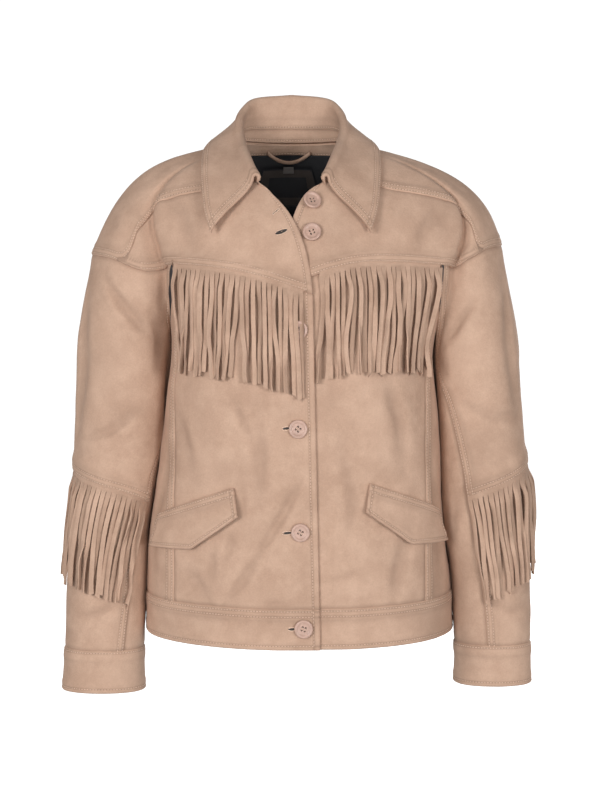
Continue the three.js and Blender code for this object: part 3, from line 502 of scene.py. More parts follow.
def at_arc(side, x, z, arc):
    angle = angle_at_x(x + 0 * z, z)
    for _ in range(16):
        speed = np.linalg.norm(body_section(angle + 1e-3, z) - body_section(angle - 1e-3, z), axis=-1) / 2e-3
        angle = angle + side * arc / 16 / speed
    return body_section(angle, z)


def flap_point(side, share, down):
    share, down = np.broadcast_arrays(np.asarray(share, float), np.asarray(down, float))
    x, z = FLAP_CORNERS[side]

    def edge(rows, column):
        return np.interp(share, rows[:, 0], rows[:, column])

    along = mix(edge(FLAP_TOP, 1), edge(FLAP_BOTTOM, 1), down)
    drop = mix(edge(FLAP_TOP, 2), edge(FLAP_BOTTOM, 2), down)
    points = at_arc(side, x, z - drop, along)
    angle = np.arctan2(points[..., 0], -points[..., 1])
    return points + body_normal(angle, points[..., 2]) * (1.4 + 5.0 * down)[..., None]


def chest_hang(at, drop, off):
    """A place under the front yoke's edge, so far down the cloth and off it."""
    at, drop = np.broadcast_arrays(np.asarray(at, float), np.asarray(drop, float))
    top = through_points(LOW, at)[..., 2]
    bottom = hem_height(column_angle(at, BAND_TOP)) + HEM_BAND_HEIGHT
    place = drop / (top - bottom)
    angle = column_angle(at, mix(top, bottom, place))
    return lower_body(at, place) + body_normal(angle, top) * np.asarray(off)[..., None]


def sleeve_hang(side, at, drop, off):
    """A place under the sleeve's fringe seam, so far down the cloth and off it."""
    at, drop = np.broadcast_arrays(np.asarray(at, float), np.asarray(drop, float))
    z = chevron(side, top_sleeve_angle(side, at, ELBOW)) - drop
    angle = top_sleeve_angle(side, at, z)
    along = sleeve_section(1, angle + 1e-4, z) - sleeve_section(1, angle - 1e-4, z)
    normal = unit(np.cross(along, (0, 0, 1))) * np.array((side, 1, 1))
    return top_sleeve(side, at, z) + normal * np.asarray(off)[..., None]


def inside_neck(at, share, depth):
    return upper_body(at, share) - upper_normal(at, share) * np.asarray(depth, float)[..., None]


# ---------------------------------------------------------------- creases and soft waves
def polyline_distance(places, line):
    """Distance and side of each place from a line of points, and its share along the line."""
    best = np.full(len(places), 1e9)
    sign = np.ones(len(places))
    along = np.zeros(len(places))
    parts = len(line) - 1
    for k in range(parts):
        start, step = line[k], line[k + 1] - line[k]
        long = step @ step
        share = ((places - start) @ step) / long
        held = np.clip(share, 0, 1)
        away = places - start - held[:, None] * step
        distance = np.hypot(away[:, 0], away[:, 1])
        nearer = distance < best
        best = np.where(nearer, distance, best)
        sign = np.where(nearer, np.sign(step[0] * away[:, 1] - step[1] * away[:, 0]), sign)
        along = np.where(nearer, (k + held) / parts, along)
    return best, sign, along


DEGREE = 0.9
CREASE_DEPTH = 2.2
CREASE_NARROWING = 0.72


def crease_relief(points, normals):
    """How far the cloth stands in or out at each point, in its creases."""
    relief = np.zeros(len(points))
    x, y, z = points.T
    flat = {
        "front": (np.c_[x, z], smooth((-normals[:, 1] - 0.1) / 0.4) * (np.abs(x) < 215)),
        "back": (np.c_[x, z], smooth((normals[:, 1] - 0.1) / 0.4) * (np.abs(x) < 178)),
        "sides": (np.c_[y, z], smooth((np.abs(normals[:, 0]) - 0.5) / 0.3) * (np.abs(x) < 176) * (z < -180)),
    }
    for name, side in SIDES:
        rows = SLEEVES[side]
        middle_x, middle_y = read_table(rows, z, 1), read_table(rows, z, 2)
        angle = np.degrees(np.arctan2(side * (x - middle_x), middle_y - y))
        angle = np.where(angle < -100, angle + 360, angle)
        near = (side * x > 140) * (z < -125)
        flat[name + " sleeve"] = (np.c_[angle * DEGREE, z], near * 1.0)
    for kind, broad, valley, step, line in CREASES:
        width = broad * CREASE_NARROWING
        places, weight = flat[kind]
        line = np.array(line, float)
        if kind.endswith("sleeve"):
            line[:, 0] *= DEGREE
        distance, sign, along = polyline_distance(places, line)
        fade = np.sin(math.pi * np.clip(along, 0.04, 0.96)) ** 0.6
        bell = np.exp(-0.5 * (distance / width) ** 2)
        slope = sign * distance / width * np.exp(0.5 - 0.5 * (distance / width) ** 2)
        relief += weight * fade * CREASE_DEPTH * (step * slope - valley * bell)
    return relief


WAVES = np.random.default_rng(7)
WAVE_SETS = [(unit(WAVES.normal(size=(count, 3)) * (1, 1, 0.7)) / WAVES.uniform(*reach, (count, 1)),
              WAVES.uniform(0, 2 * math.pi, count), height)
             for count, reach, height in ((18, (7, 24), 0.26), (26, (2.4, 6), 0.055))]


def wave_relief(points):
    """Broad, shallow unevenness of soft leather, with small puckers on it."""
    relief = np.zeros(len(points))
    for ways, starts, height in WAVE_SETS:
        reach = 1 / np.linalg.norm(ways, axis=1)
        relief += (np.sin(points @ ways.T + starts) * reach / reach.max()).sum(1) * height
    return relief


# ---------------------------------------------------------------- meshes
def new_piece(name, vertices, faces, materials, slots=None, tone_and_painted_shade=None, shade_smooth=True):
    """A mesh object from millimetres and quads, with a value at each vertex that its material reads: painted shade
    and highlight, and on the fringe also a random change from strip to strip.
    """
    mesh = bpy.data.meshes.new(name)
    vertices = np.ascontiguousarray(vertices * MM, np.float32)
    faces = np.ascontiguousarray(faces, np.int32)
    mesh.vertices.add(len(vertices))
    mesh.vertices.foreach_set("co", vertices.ravel())
    mesh.loops.add(faces.size)
    mesh.loops.foreach_set("vertex_index", faces.ravel())
    mesh.polygons.add(len(faces))
    mesh.polygons.foreach_set("loop_start", np.arange(0, faces.size, 4, dtype=np.int32))
    mesh.polygons.foreach_set("loop_total", np.full(len(faces), 4, np.int32))
    for material in materials:
        mesh.materials.append(material)
    if slots is not None:
        mesh.polygons.foreach_set("material_index", np.ascontiguousarray(slots, np.int32))
    mesh.polygons.foreach_set("use_smooth", np.full(len(faces), shade_smooth))
    values = np.full(len(vertices), 0.5) if tone_and_painted_shade is None else tone_and_painted_shade
    mesh.attributes.new("tone_and_painted_shade", "FLOAT", "POINT").data.foreach_set("value", values.astype(np.float32))
    mesh.update()
    mesh.validate()
    piece = bpy.data.objects.new(name, mesh)
    bpy.context.scene.collection.objects.link(piece)
    return piece


def grid_faces(columns, rows, ring=False):
    across = np.arange(columns if ring else columns - 1)[:, None]
    down = np.arange(rows - 1)[None, :]
    a, b = across * rows + down, ((across + 1) % columns) * rows + down
    return np.stack((a, b, b + 1, a + 1), -1).reshape(-1, 4)


def lengths(points, axis):
    """Length of the way along an axis of a grid, from its first line."""
    steps = np.linalg.norm(np.diff(points, axis=axis), axis=-1)
    zero = np.zeros_like(np.take(steps, [0], axis=axis))
    return np.concatenate((zero, np.cumsum(steps, axis=axis)), axis=axis)


def spaced(surface, us, vs, axis, pitch, fine):
    """Places along one axis at a pitch, closer together along an edge that is fine."""
    grid = surface(us[:, None], vs[None, :])
    run = lengths(grid, axis).mean(1 - axis)
    total = run[-1]
    near = np.array([0, 0.6, 1.4, 2.4, 3.4, 4.8, 6.4, 7.6, 8.8, 10.2, 12.5])
    near = near[near < total * 0.45]
    start = near if fine[0] else near[:3]
    end = total - (near if fine[1] else near[:3])
    low, high = start[-1], end[-1]
    count = max(2, int(round((high - low) / pitch)))
    wanted = np.concatenate((start, np.linspace(low, high, count + 1)[1:-1], end[::-1]))
    return np.interp(wanted, run, us if axis == 0 else vs)


def unit_normals(points, ring):
    if ring:
        along = np.roll(points, -1, 0) - np.roll(points, 1, 0)
    else:
        along = np.gradient(points, axis=0)
    return unit(np.cross(along, np.gradient(points, axis=1)))


def extended(points, side, reach):
    """The grid with one more line beyond a side, straight on from it."""
    grid = points if side[0] == "u" else points.transpose(1, 0, 2)
    grid = grid if side[1] == "0" else grid[::-1]
    beyond = grid[:1] + unit(grid[:1] - grid[1:2]) * reach
    grid = np.concatenate((beyond, grid))
    grid = grid if side[1] == "0" else grid[::-1]
    return grid if side[0] == "u" else grid.transpose(1, 0, 2)


class Cloth:
    """A sheet of leather or lining over a grid of a surface.

    edges names the finish of each side, u0 u1 v0 v1: "lap" is turned and lies on its neighbour, "under" runs
    beneath it, "free" is a turned open edge, and None is plain. rows gives the stitch rows' distances from a side.
    """

    def __init__(self, surface, u_span, v_span, facing, edges=None, rows=None, pitch=4.0, ring=False,
                 wall=LEATHER, out=0.0, creased=1.0, trims=None):
        self.edges, self.rows, self.ring, self.wall = edges or {}, rows or {}, ring, wall
        self.trims = trims or {}
        us, vs = np.linspace(*u_span, 60), np.linspace(*v_span, 60)
        fine = {side: side in self.rows or self.edges.get(side) == "lap" for side in ("u0", "u1", "v0", "v1")}
        if ring:
            turns = max(24, int(round(lengths(surface(us[:, None], vs[None, :]), 0)[-1].mean() / pitch)))
            self.us = np.linspace(*u_span, turns + 1)[:-1]
        else:
            self.us = spaced(surface, us, vs, 0, pitch, (fine["u0"], fine["u1"]))
        self.vs = spaced(surface, us, vs, 1, pitch, (fine["v0"], fine["v1"]))
        base = surface(self.us[:, None], self.vs[None, :])
        tucked = {side: TUCK if self.edges.get(side) == "under" else 0.0 for side in ("u0", "u1", "v0", "v1")}
        for side, tuck in tucked.items():
            if tuck:
                base = extended(base, side, tuck)
        normals = unit_normals(base, ring)
        ways = facing(base)
        self.flip = (normals * ways).sum() < 0
        normals = -normals if self.flip else normals
        self.base, self.normals = base, normals
        along, down = lengths(base, 0), lengths(base, 1)
        self.away = {"u0": along - tucked["u0"], "u1": along[-1] - along - tucked["u1"],
                     "v0": down - tucked["v0"], "v1": down[:, -1:] - down - tucked["v1"]}
        shape = base.shape[:2]
        points, ways = base.reshape(-1, 3), normals.reshape(-1, 3)
        soft = (crease_relief(points, ways) + wave_relief(points)).reshape(shape) * creased
        relief = out + soft
        # Painted shade and highlight: darker in crease valleys and the hollows of the waves, lighter on their ridges.
        tone_and_painted_shade = 0.5 + np.clip(soft, -1.8, 1.2) * 0.10
        for side, finish in self.edges.items():
            away = self.away[side]
            if finish in ("lap", "over"):
                proud = 1.0 if finish == "lap" else 2.5
                relief = relief + proud * smooth(away / 1.2) * (1 - smooth((away - 10) / (4 + 4 * proud)))
                relief = relief + (proud - 1.6) * (1 - smooth(away / 1.2))
                # Painted highlight on the raised turned edge, and painted shade where the raised lap falls back to
                # the cloth.
                tone_and_painted_shade = tone_and_painted_shade + 0.10 * (1 - smooth(away / 1.6)) - 0.14 * np.exp(-((away - 12.5) / 3.0) ** 2)
            elif finish == "under":
                relief = relief - 0.8 * (1 - smooth(away / 3.0)) - 0.5 * (away < -0.1)
                # Painted shade in the seam recess where this cloth runs under its neighbour.
                tone_and_painted_shade = tone_and_painted_shade - 0.36 * (1 - smooth(away / 3.6))
            elif finish == "free":
                relief = relief + 0.6 * smooth(away / 1.5) * (1 - smooth((away - 9) / 5))
                relief = relief - 0.3 * (1 - smooth(away / 1.0))
                # Painted highlight along the raised rim of the turned free edge.
                tone_and_painted_shade = tone_and_painted_shade + 0.10 * (1 - smooth(away / 1.6))
        for side, distances in self.rows.items():
            for distance in distances:
                dent = np.exp(-((self.away[side] - distance) / 1.2) ** 2)
                relief = relief - 0.6 * dent
                # Painted shade in the dent of each stitch row.
                tone_and_painted_shade = tone_and_painted_shade - 0.40 * dent
        self.soft, self.relief, self.tone_and_painted_shade = soft, relief, tone_and_painted_shade
        self.outer = base + normals * relief[..., None]

    def mesh(self, name, materials, lining_starts=None):
        """The closed sheet. Its outside is the first material, its inside the second."""
        columns, rows = self.base.shape[:2]
        inner = self.base + self.normals * (self.soft * 0.7 - self.wall)[..., None]
        outer = self.outer.reshape(-1, 3)
        layer = len(outer)
        faces = grid_faces(columns, rows, self.ring)
        outside = faces[:, ::-1] if self.flip else faces
        inside = faces if self.flip else faces[:, ::-1]
        index = np.arange(layer).reshape(columns, rows)
        if self.ring:
            loops = [(index[:, 0], index[:, 1]), (index[:, -1], index[:, -2])]
        else:
            border = np.concatenate((index[:, 0], index[-1, 1:], index[-2::-1, -1], index[0, -2:0:-1]))
            held = np.clip(np.arange(columns), 1, columns - 2), np.clip(np.arange(rows), 1, rows - 2)
            nearest = index[held[0][:, None], held[1][None, :]].reshape(-1)
            loops = [(border, nearest[border])]
        vertices, parts = [outer, inner.reshape(-1, 3)], [outside, inside + layer]
        slots = [np.zeros(len(outside), int), np.ones(len(inside), int)]
        if lining_starts is not None:
            slots[1] = np.where(lining_starts(inner.reshape(-1, 3)[inside].mean(1)), 1, 0)
        count = 2 * layer
        flat_inner = inner.reshape(-1, 3)
        for loop, neighbour in loops:
            middle = (outer[loop] + flat_inner[loop]) / 2
            away = unit(outer[loop] - outer[neighbour])
            vertices.append(middle + away * self.wall * 0.28)
            ring = np.arange(len(loop)) + count
            following = np.roll(np.arange(len(loop)), -1)
            upper = np.stack((loop, loop[following], ring[following], ring), -1)
            lower = np.stack((ring, ring[following], loop[following] + layer, loop + layer), -1)
            start = loop is not loops[0][0]
            turn = self.flip ^ start
            if turn:
                upper, lower = upper[:, ::-1], lower[:, ::-1]
            parts += [upper[:, ::-1], lower[:, ::-1]]
            slots += [np.zeros(2 * len(loop), int)]
            count += len(loop)
        vertices = np.concatenate(vertices)
        tone_and_painted_shade = np.concatenate((self.tone_and_painted_shade.reshape(-1), np.full(len(vertices) - layer, 0.5)))
        return new_piece(name, vertices, np.concatenate(parts), materials, np.concatenate(slots), tone_and_painted_shade)

    def path(self, side, distance):
        """Points and normals of a row at a distance from a side, on the finished surface."""
        away, outer, normals = self.away[side], self.outer, self.normals
        if side in ("u0", "u1"):
            away, outer, normals = away.T, outer.transpose(1, 0, 2), normals.transpose(1, 0, 2)
        if side in ("u1", "v1"):
            away, outer, normals = away[:, ::-1], outer[:, ::-1], normals[:, ::-1]
        at = np.clip((away < distance).sum(1), 1, away.shape[1] - 1)
        line = np.arange(len(away))
        low, high = away[line, at - 1], away[line, at]
        share = np.clip((distance - low) / np.maximum(high - low, 1e-6), 0, 1)[:, None]
        points = mix(outer[line, at - 1], outer[line, at], share)
        ways = unit(mix(normals[line, at - 1], normals[line, at], share))
        if self.ring:
            points, ways = np.concatenate((points, points[:1])), np.concatenate((ways, ways[:1]))
        return points, ways

    def stitch_paths(self):
        made = []
        for side, distances in self.rows.items():
            for distance in distances:
                points, ways = self.path(side, distance)
                starts, ends = self.trims.get(side, (1.5, 1.5))
                made.append(trimmed(points, ways, starts if starts >= 0 else distance,
                                    ends if ends >= 0 else distance))
        return made

    def area(self):
        points = self.base
        a = points[1:, :-1] - points[:-1, :-1]
        b = points[:-1, 1:] - points[:-1, :-1]
        if self.ring:
            points = np.concatenate((points, points[:1]))
            a, b = points[1:, :-1] - points[:-1, :-1], points[:-1, 1:] - points[:-1, :-1]
        return float(np.linalg.norm(np.cross(a, b), axis=-1).sum()) * MM * MM

    def size(self):
        wide, long = self.away["u0"][-1].max(), self.away["v0"][:, -1].max()
        if self.ring:
            wide += np.linalg.norm(self.base[0] - self.base[-1], axis=-1).max()
        return wide * MM, long * MM


def trimmed(points, ways, start, end):
    run = np.concatenate(([0], np.cumsum(np.linalg.norm(np.diff(points, axis=0), axis=1))))
    keep = np.linspace(start, run[-1] - end, max(3, int(run[-1] / 1.5)))
    return (np.stack([np.interp(keep, run, points[:, k]) for k in range(3)], -1),
            unit(np.stack([np.interp(keep, run, ways[:, k]) for k in range(3)], -1)))


STITCH_RINGS = np.array([-1, -0.55, 0.55, 1])
STITCH_SWELL = np.array([0.35, 1, 1, 0.35])


def stitch_mesh(paths, pitch, thread=0.36, share=0.74):
    """Vertices and faces of short thread beads along paths."""
    verts, quads, count = [], [], 0
    around = np.array([(1, 0.15), (0, 1), (-1, 0.15), (0, -0.6)])
    ring = np.arange(4)
    one = np.concatenate([np.stack((ring + 4 * k, np.roll(ring, -1) + 4 * k, np.roll(ring, -1) + 4 * k + 4,
                                    ring + 4 * k + 4), -1) for k in range(3)]
                         + [np.array([[3, 2, 1, 0], [12, 13, 14, 15]])])
    for points, ways in paths:
        run = np.concatenate(([0], np.cumsum(np.linalg.norm(np.diff(points, axis=0), axis=1))))
        number = int(run[-1] / pitch)
        if number < 1:
            continue
        centres = (np.arange(number) + 0.5) * (run[-1] / number)
        half = pitch * share / 2
        lines = [np.stack([np.interp(centres + move, run, points[:, k]) for k in range(3)], -1)
                 for move in (-half, 0, half)]
        up = unit(np.stack([np.interp(centres, run, ways[:, k]) for k in range(3)], -1))
        ahead = unit(lines[2] - lines[0])
        aside = unit(np.cross(ahead, up))
        for k, (place, swell) in enumerate(zip(STITCH_RINGS, STITCH_SWELL)):
            centre = lines[1] + (lines[2] - lines[0]) / 2 * place + up * (0.10 * swell)
            for a, b in around:
                verts.append(centre + aside * (a * thread * 1.15 * swell) + up * (b * thread * swell))
        block = np.stack(verts[-16:], 1).reshape(-1, 3)
        del verts[-16:]
        verts.append(block)
        quads.append((one[None] + (16 * np.arange(number))[:, None, None]).reshape(-1, 4) + count)
        count += len(block)
    return np.concatenate(verts), np.concatenate(quads)


# ---------------------------------------------------------------- materials
def node_tree(name):
    material = bpy.data.materials.new(name)
    material.use_nodes = True
    tree = material.node_tree
    return material, tree, tree.nodes["Principled BSDF"]


def add_node(tree, kind, settings=None, **links):
    """A node with its settings and inputs; a link is a socket and anything else a value."""
    node = tree.nodes.new(kind)
    for key, value in (settings or {}).items():
        setattr(node, key, value)
    for key, value in links.items():
        put(tree, node.inputs[int(key[1:]) if key[1:].isdigit() else key.replace("_", " ")], value)
    return node


def put(tree, socket, value):
    if isinstance(value, bpy.types.NodeSocket):
        tree.links.new(value, socket)
    else:
        socket.default_value = value


def noise(tree, place, scale, detail=3.0, rough=0.55):
    return add_node(tree, "ShaderNodeTexNoise", Vector=place, Scale=scale, Detail=detail,
                    Roughness=rough).outputs[0]


def ranged(tree, value, low, high, to_low=0.0, to_high=1.0):
    return add_node(tree, "ShaderNodeMapRange", None, i0=value, i1=low, i2=high, i3=to_low, i4=to_high).outputs[0]


def blended(tree, share, a, b, how="MIX"):
    node = add_node(tree, "ShaderNodeMix", {"data_type": "RGBA", "blend_type": how}, i0=share, i6=a, i7=b)
    return node.outputs[2]


def place_of(tree):
    return add_node(tree, "ShaderNodeTexCoord").outputs["Object"]


def tone_of(tree):
    return add_node(tree, "ShaderNodeAttribute", {"attribute_name": "tone_and_painted_shade"}).outputs["Fac"]


def suede_material(name, colour, shade, light):
    """Napped leather: cloudy colour, brushed nap and pores, with painted highlight on turned edges and crease ridges
    and painted shade in creases, seams and stitch dents.
    """
    material, tree, shader = node_tree(name)
    place = place_of(tree)
    clouds = ranged(tree, noise(tree, place, 14.0, 5.0, 0.62), 0.34, 0.68)
    colours = blended(tree, clouds, shade, colour)
    patches = ranged(tree, noise(tree, place, 46.0, 4.0, 0.62), 0.42, 0.66, 0.0, 0.42)
    colours = blended(tree, patches, colours, light)
    nap = ranged(tree, noise(tree, place, 620.0, 4.0, 0.7), 0.3, 0.72, 0.90, 1.06)
    grey = add_node(tree, "ShaderNodeCombineColor", None, i0=nap, i1=nap, i2=nap).outputs[0]
    colours = blended(tree, 1.0, colours, grey, "MULTIPLY")
    tone_and_painted_shade = tone_of(tree)
    # Painted shade: darker where the vertex value is low, in creases, seam recesses and stitch dents.
    painted_shade_colour = tuple(c * 0.62 for c in shade[:3]) + (1,)
    colours = blended(tree, ranged(tree, tone_and_painted_shade, 0.5, 0.12, 0.0, 0.62), colours, painted_shade_colour)
    # Painted highlight: lighter where the vertex value is high, on crease ridges and turned edges; the same light
    # colour also gives the random lighter patches above.
    colours = blended(tree, ranged(tree, tone_and_painted_shade, 0.52, 0.9, 0.0, 0.6), colours, light)
    put(tree, shader.inputs["Base Color"], colours)
    rough = ranged(tree, noise(tree, place, 140.0, 3.0), 0.3, 0.7, 0.80, 0.96)
    put(tree, shader.inputs["Roughness"], rough)
    shader.inputs["Specular IOR Level"].default_value = 0.15
    shader.inputs["Sheen Weight"].default_value = 0.10
    shader.inputs["Sheen Roughness"].default_value = 0.55
    shader.inputs["Sheen Tint"].default_value = (1.0, 0.9, 0.82, 1)
    pores = add_node(tree, "ShaderNodeTexVoronoi", {"feature": "SMOOTH_F1"}, Vector=place, Scale=420.0).outputs[0]
    fine = add_node(tree, "ShaderNodeBump", None, Strength=0.28, Distance=0.0005,
                    Height=noise(tree, place, 760.0, 5.0, 0.72)).outputs[0]
    grain = add_node(tree, "ShaderNodeBump", None, Strength=0.22, Distance=0.0006, Height=pores,
                     Normal=fine).outputs[0]
    swell = add_node(tree, "ShaderNodeBump", None, Strength=0.30, Distance=0.0025,
                     Height=noise(tree, place, 75.0, 3.0, 0.5), Normal=grain).outputs[0]
    put(tree, shader.inputs["Normal"], swell)
    return material


def woven_material(name, colour, light, scale=1500.0, gloss=0.55):
    """Fine woven cloth with its threads."""
    material, tree, shader = node_tree(name)
    place = place_of(tree)
    over = add_node(tree, "ShaderNodeTexWave", {"bands_direction": "X"}, Vector=place, Scale=scale / 6,
                    Distortion=0.6).outputs["Fac"]
    up = add_node(tree, "ShaderNodeTexWave", {"bands_direction": "Z"}, Vector=place, Scale=scale / 6,
                  Distortion=0.6).outputs["Fac"]
    weave = add_node(tree, "ShaderNodeMath", {"operation": "MULTIPLY"}, i0=over, i1=up).outputs[0]
    clouds = ranged(tree, noise(tree, place, 30.0), 0.35, 0.7, 0.0, 0.5)
    colours = blended(tree, clouds, colour, light)
    put(tree, shader.inputs["Base Color"], blended(tree, weave, colours, light))
    put(tree, shader.inputs["Roughness"], ranged(tree, weave, 0.0, 1.0, gloss, gloss + 0.2))
    put(tree, shader.inputs["Normal"], add_node(tree, "ShaderNodeBump", None, Strength=0.3, Distance=0.0003,
                                                Height=weave).outputs[0])
    return material


def thread_material(name, colour, light):
    material, tree, shader = node_tree(name)
    place = place_of(tree)
    ply = add_node(tree, "ShaderNodeTexWave", {"bands_direction": "DIAGONAL"}, Vector=place, Scale=700.0,
                   Distortion=1.0).outputs["Fac"]
    clouds = ranged(tree, noise(tree, place, 60.0), 0.3, 0.7)
    put(tree, shader.inputs["Base Color"], blended(tree, clouds, colour, light))
    put(tree, shader.inputs["Roughness"], ranged(tree, ply, 0, 1, 0.5, 0.75))
    put(tree, shader.inputs["Normal"], add_node(tree, "ShaderNodeBump", None, Strength=0.4, Distance=0.0002,
                                                Height=ply).outputs[0])
    return material


def horn_material(name, colour, light, painted_hole_shade):
    """Polished button with soft clouds; its holes are darkened with painted shade."""
    material, tree, shader = node_tree(name)
    place = place_of(tree)
    clouds = ranged(tree, noise(tree, place, 130.0, 4.0, 0.6), 0.35, 0.65)
    swirls = ranged(tree, noise(tree, place, 520.0, 3.0), 0.4, 0.7, 0.0, 0.45)
    colours = blended(tree, swirls, blended(tree, clouds, colour, light), colour)
    put(tree, shader.inputs["Base Color"], blended(tree, ranged(tree, tone_of(tree), 0.45, 0.1), colours, painted_hole_shade))
    put(tree, shader.inputs["Roughness"], ranged(tree, clouds, 0, 1, 0.28, 0.42))
    put(tree, shader.inputs["Normal"], add_node(tree, "ShaderNodeBump", None, Strength=0.12, Distance=0.0003,
                                                Height=swirls).outputs[0])
    return material


def shop():
    """The materials, made once from the settings' colours."""
    settings = bpy.context.scene.suede_jacket
    if "suede" in STOCK:
        return STOCK
    suede, shade, light = (tuple(getattr(settings, key)) for key in ("suede_colour", "suede_shade", "suede_light"))
    lining, horn, thread = (tuple(getattr(settings, key))
                            for key in ("lining_colour", "button_colour", "thread_colour"))

    def lighter(colour, by):
        return tuple(min(1, c * by) for c in colour[:3]) + (1,)

    STOCK.update(
        suede=suede_material("napped_suede", suede, shade, light),
        # The fringe's suede is the body's suede made a little darker: painted shade for the strips that shade one
        # another.
        fringe=suede_material("fringe_suede_shaded_copy", lighter(suede, 0.97), lighter(shade, 0.92), light),
        lining=woven_material("black_lining", lining, lighter(lining, 2.2)),
        label=woven_material("label_ground", lighter(lining, 1.6), lighter(lining, 2.6), 2000.0),
        frame=woven_material("label_frame", (0.055, 0.042, 0.036, 1), (0.09, 0.07, 0.06, 1), 2000.0),
        size=woven_material("size_label", (0.16, 0.14, 0.13, 1), (0.27, 0.25, 0.24, 1), 2000.0),
        thread=thread_material("tonal_thread", thread, lighter(thread, 1.15)),
        # The last colour is the painted shade in the button holes.
        horn=horn_material("horn_button", horn, lighter(horn, 1.25), (0.03, 0.018, 0.014, 1)),
        # A near-black copy of the thread material, used as painted shadow inside the buttonholes.
        slit=thread_material("buttonhole_slit", (0.02, 0.013, 0.01, 1), (0.03, 0.02, 0.015, 1)),
    )
    return STOCK


STOCK = {}
CLOTHS = {}


# ---------------------------------------------------------------- putting pieces in the frame
def settle(piece, slot, *nodes):
    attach(piece, "root")
    if nodes:
        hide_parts(*nodes)
    return piece


def sew(node, cloth, materials, slot="suede", lining_starts=None):
    """One cut piece of the jacket with its stitching."""
    piece = settle(cloth.mesh("cloth_" + node, materials, lining_starts), slot, node)
    paths = cloth.stitch_paths()
    if paths:
        pitch = bpy.context.scene.suede_jacket.stitch_pitch / MM
        verts, quads = stitch_mesh(paths, pitch)
        stitches = new_piece("stitches_" + node, verts, quads, [shop()["thread"]])
        settle(stitches, slot)
    wide, long = (max(extent, LEAST_CUT) for extent in cloth.size())
    area = min(max(cloth.area(), 0.3 * wide * long), wide * long)
    CLOTHS[node] = cloth
    return piece


def from_middle(points):
    return points * np.array((1, 1, 0))


def round_sleeve(side):
    return lambda points: (points - np.array((side * 205, -5, 0))) * np.array((1, 1, 0))


def seam_share(at):
    from_edge = np.minimum(at, LAST_COLUMN - at)
    return np.interp(from_edge, SHOULDER_SEAM[:, 0], SHOULDER_SEAM[:, 1])


def behind_facing(points):
    """True where the inside shows lining, away from the front edges."""
    return ~((np.abs(points[:, 0] + 2) < 58) & (points[:, 1] < 0))


class JacketSettings(bpy.types.PropertyGroup):
    """Sizes and colours of the jacket."""

    suede_colour: bpy.props.FloatVectorProperty(
        name="Suede", description="Main colour of the napped suede", subtype="COLOR", size=4,
        min=0, max=1, default=(0.560, 0.372, 0.272, 1))
    # The shade colour gives the darker clouds in the suede and, darkened further, its painted shade in creases, seams
    # and stitch dents.
    suede_shade: bpy.props.FloatVectorProperty(
        name="Suede shade", description="Darker clouds in the suede", subtype="COLOR", size=4,
        min=0, max=1, default=(0.470, 0.304, 0.218, 1))
    # The light colour gives the lighter random patches and also the painted highlight on turned edges and crease
    # ridges.
    suede_light: bpy.props.FloatVectorProperty(
        name="Suede light", description="Brushed and worn suede", subtype="COLOR", size=4,
        min=0, max=1, default=(0.650, 0.445, 0.330, 1))
    thread_colour: bpy.props.FloatVectorProperty(
        name="Thread", description="Tonal sewing thread", subtype="COLOR", size=4,
        min=0, max=1, default=(0.68, 0.49, 0.37, 1))
    lining_colour: bpy.props.FloatVectorProperty(
        name="Lining", description="Body and sleeve lining", subtype="COLOR", size=4,
        min=0, max=1, default=(0.008, 0.008, 0.010, 1))
    button_colour: bpy.props.FloatVectorProperty(
        name="Buttons", description="Horn buttons", subtype="COLOR", size=4,
        min=0, max=1, default=(0.44, 0.285, 0.225, 1))
    stitch_pitch: bpy.props.FloatProperty(
        name="Stitch length", description="Length of one top stitch", unit="LENGTH", default=0.0033,
        min=0.002, max=0.006)
    strip_width: bpy.props.FloatProperty(
        name="Strip width", description="Width of one fringe strip", unit="LENGTH", default=0.0058,
        min=0.003, max=0.012)
    fringe_length: bpy.props.FloatProperty(
        name="Fringe length", description="Length of the fringe from its seam", unit="LENGTH", default=0.118,
        min=0.04, max=0.16)


class JacketOperator:
    """What every step of the jacket shares."""

    bl_options = {"REGISTER", "UNDO"}

    def execute(self, context):
        self.make(context.scene.suede_jacket)
        return {"FINISHED"}


class JACKET_OT_yokes(JacketOperator, bpy.types.Operator):
    """Cut and sew the two front yokes and the back yoke"""

    bl_idname = "jacket.yokes"
    bl_label = "Yokes"

    def make(self, settings):
        stock = shop()
        skins = [stock["suede"], stock["lining"]]
        for name, side in SIDES:
            def column(u, side=side):
                return u if side < 0 else LAST_COLUMN - u

            def surface(u, v, column=column):
                at, v = np.broadcast_arrays(column(np.asarray(u, float)), v)
                return upper_body(at, v * seam_share(at))

            cloth = Cloth(surface, (0, 4.75), (0, 1), from_middle, pitch=3.4,
                          edges={"v0": "over", "u0": "free", "v1": "under"},
                          rows={"v0": (2.6, 8.6), "u0": (6.8,)}, trims={"v0": (7.5, 30), "u0": (2, 16)})
            sew("front_yoke_" + name, cloth, skins, lining_starts=behind_facing)

        def surface(u, v):
            at, v = np.broadcast_arrays(np.asarray(u, float), v)
            from_edge = np.minimum(at, LAST_COLUMN - at)
            low = np.where(from_edge < 4.75, seam_share(at), 0)
            return upper_body(at, mix(low, 1, v))

        cloth = Cloth(surface, (0.36, LAST_COLUMN - 0.36), (0, 1), from_middle, pitch=4.4, creased=0.6,
                      edges={"v0": "lap"}, rows={"v0": (2.6, 8.6)}, trims={"v0": (14, 14)})
        sew("yoke_back", cloth, skins)


